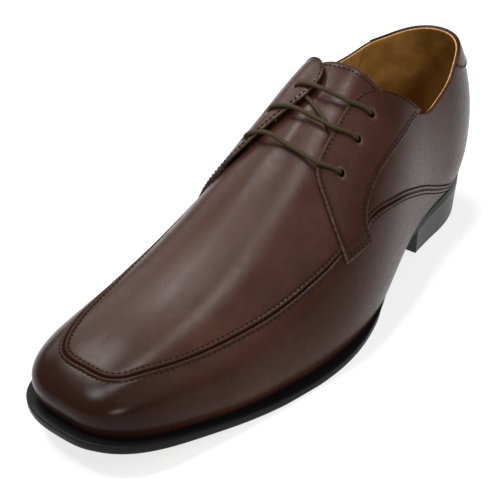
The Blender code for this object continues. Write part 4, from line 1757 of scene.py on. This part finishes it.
@dataclass
class Studio:
    """Camera, floor and soft light."""

    azimuth: float = 38.222
    elevation: float = 32.939
    roll: float = -0.377
    distance: float = 494.462
    focal: float = 1045.173
    frame_width: float = 497.0
    sensor: float = 36.0
    target: tuple[float, float, float] = (-2.64, -31.44, 45.0)
    floor_size: float = 6.0
    # Name, place, width and height, turn and power of each soft light; all look at the shoe
    lights: tuple[tuple[str, tuple[float, float, float], tuple[float, float], float, float], ...] = (
        ("left_strip", (-0.655, 0.03, 0.96), (0.48, 0.09), 0.15, 7.5),
        ("left_fill", (-1.03, 0.3, 0.62), (0.7, 0.6), 0.0, 3.6),
        ("top_strip", (-0.17, 0.0, 1.15), (0.6, 0.09), 0.4, 9.5),
        ("toe_light", (-0.29, -0.45, 1.05), (0.2, 0.15), 0.0, 6.0),
        ("right_fill", (0.95, -0.1, 1.15), (1.4, 1.4), 0.0, 8.8),
        ("front_softbox", (0.86, -0.84, 0.5), (0.22, 0.22), 0.0, 5.0),
    )
    surroundings: float = 0.22

    def aim(self, back: Array, roll: float) -> Matrix:
        """A turned frame whose third axis points away from what is looked at.

        Args:
            back: Unit vector from what is looked at to the viewer.
            roll: Turn about it.

        Returns:
            The frame as a matrix.
        """
        right = unit(np.cross(-back, UPWARD))
        above = np.cross(right, -back)
        turned = right * np.cos(roll) + above * np.sin(roll)
        lifted = -right * np.sin(roll) + above * np.cos(roll)
        return Matrix(np.stack([turned, lifted, back], 1).tolist()).to_4x4()

    def build(self) -> None:
        """Place the camera, the floor, the lights and the pale surroundings."""
        azimuth, elevation, roll = np.radians([self.azimuth, self.elevation, self.roll])
        back = np.array([np.sin(azimuth) * np.cos(elevation), -np.cos(azimuth) * np.cos(elevation),
                         np.sin(elevation)])
        camera = bpy.data.cameras.new("camera")
        camera.sensor_fit = "HORIZONTAL"
        camera.sensor_width = self.sensor
        camera.lens = self.focal / self.frame_width * self.sensor
        camera.clip_start = 0.01
        eye = placed("camera", camera)
        place = (np.array(self.target) + back * self.distance) * MM
        eye.matrix_world = Matrix.Translation(place.tolist()) @ self.aim(back, roll)
        bpy.context.scene.camera = eye
        for name, spot, size, turn, power in self.lights:
            light = bpy.data.lights.new(name, "AREA")
            light.shape = "RECTANGLE"
            light.size, light.size_y = size
            light.energy = power
            lamp = placed(name, light)
            away = unit(np.array(spot) - np.array(self.target) * MM)
            lamp.matrix_world = Matrix.Translation(spot) @ self.aim(away, turn)
        half = self.floor_size / 2
        mesh = bpy.data.meshes.new("floor")
        corners = [(-half, -half, 0), (half, -half, 0), (half, half, 0), (-half, half, 0)]
        mesh.from_pydata(corners, [], [(0, 1, 2, 3)])
        mesh.materials.append(Floor().material())
        floor = placed("floor", mesh)
        world = bpy.data.worlds.new("pale_room")
        world.use_nodes = True
        light = world.node_tree.nodes["Background"].inputs
        light["Color"].default_value = (1.0, 1.0, 1.0, 1.0)
        light["Strength"].default_value = self.surroundings
        bpy.context.scene.world = world
        bpy.context.scene.view_settings.view_transform = "Standard"


def main() -> None:
    """Build the shoe's classes in order and write how large the result is."""
    logging.basicConfig(level=logging.INFO)
    finishes = Finishes()
    last = Last()
    Studio().build()
    bottom = Bottom(last, finishes)
    bottom.build_outsole()
    bottom.build_heel()
    bottom.build_insole()
    upper = Upper(last, finishes)
    upper.build_leather()
    upper.build_lining()
    outer = Facing(last, finishes, Side.OUTER)
    inner = Facing(last, finishes, Side.INNER)
    outer.build("outer_facing", "facing_outer")
    inner.build("inner_facing", "facing_inner")
    strap = BackStrap(upper)
    strap.build()
    thread = Thread(finishes)
    seams = [*upper.seam_rows_of_thread(), upper.hem_thread(), strap.thread_line()]
    thread.build("seam_thread", seams, Slot.UPPER)
    thread.build("facing_thread", [*outer.thread_lines(), *inner.thread_lines()], Slot.UPPER)
    Lace(outer, inner, finishes).build()


if __name__ == "__main__":
    main()
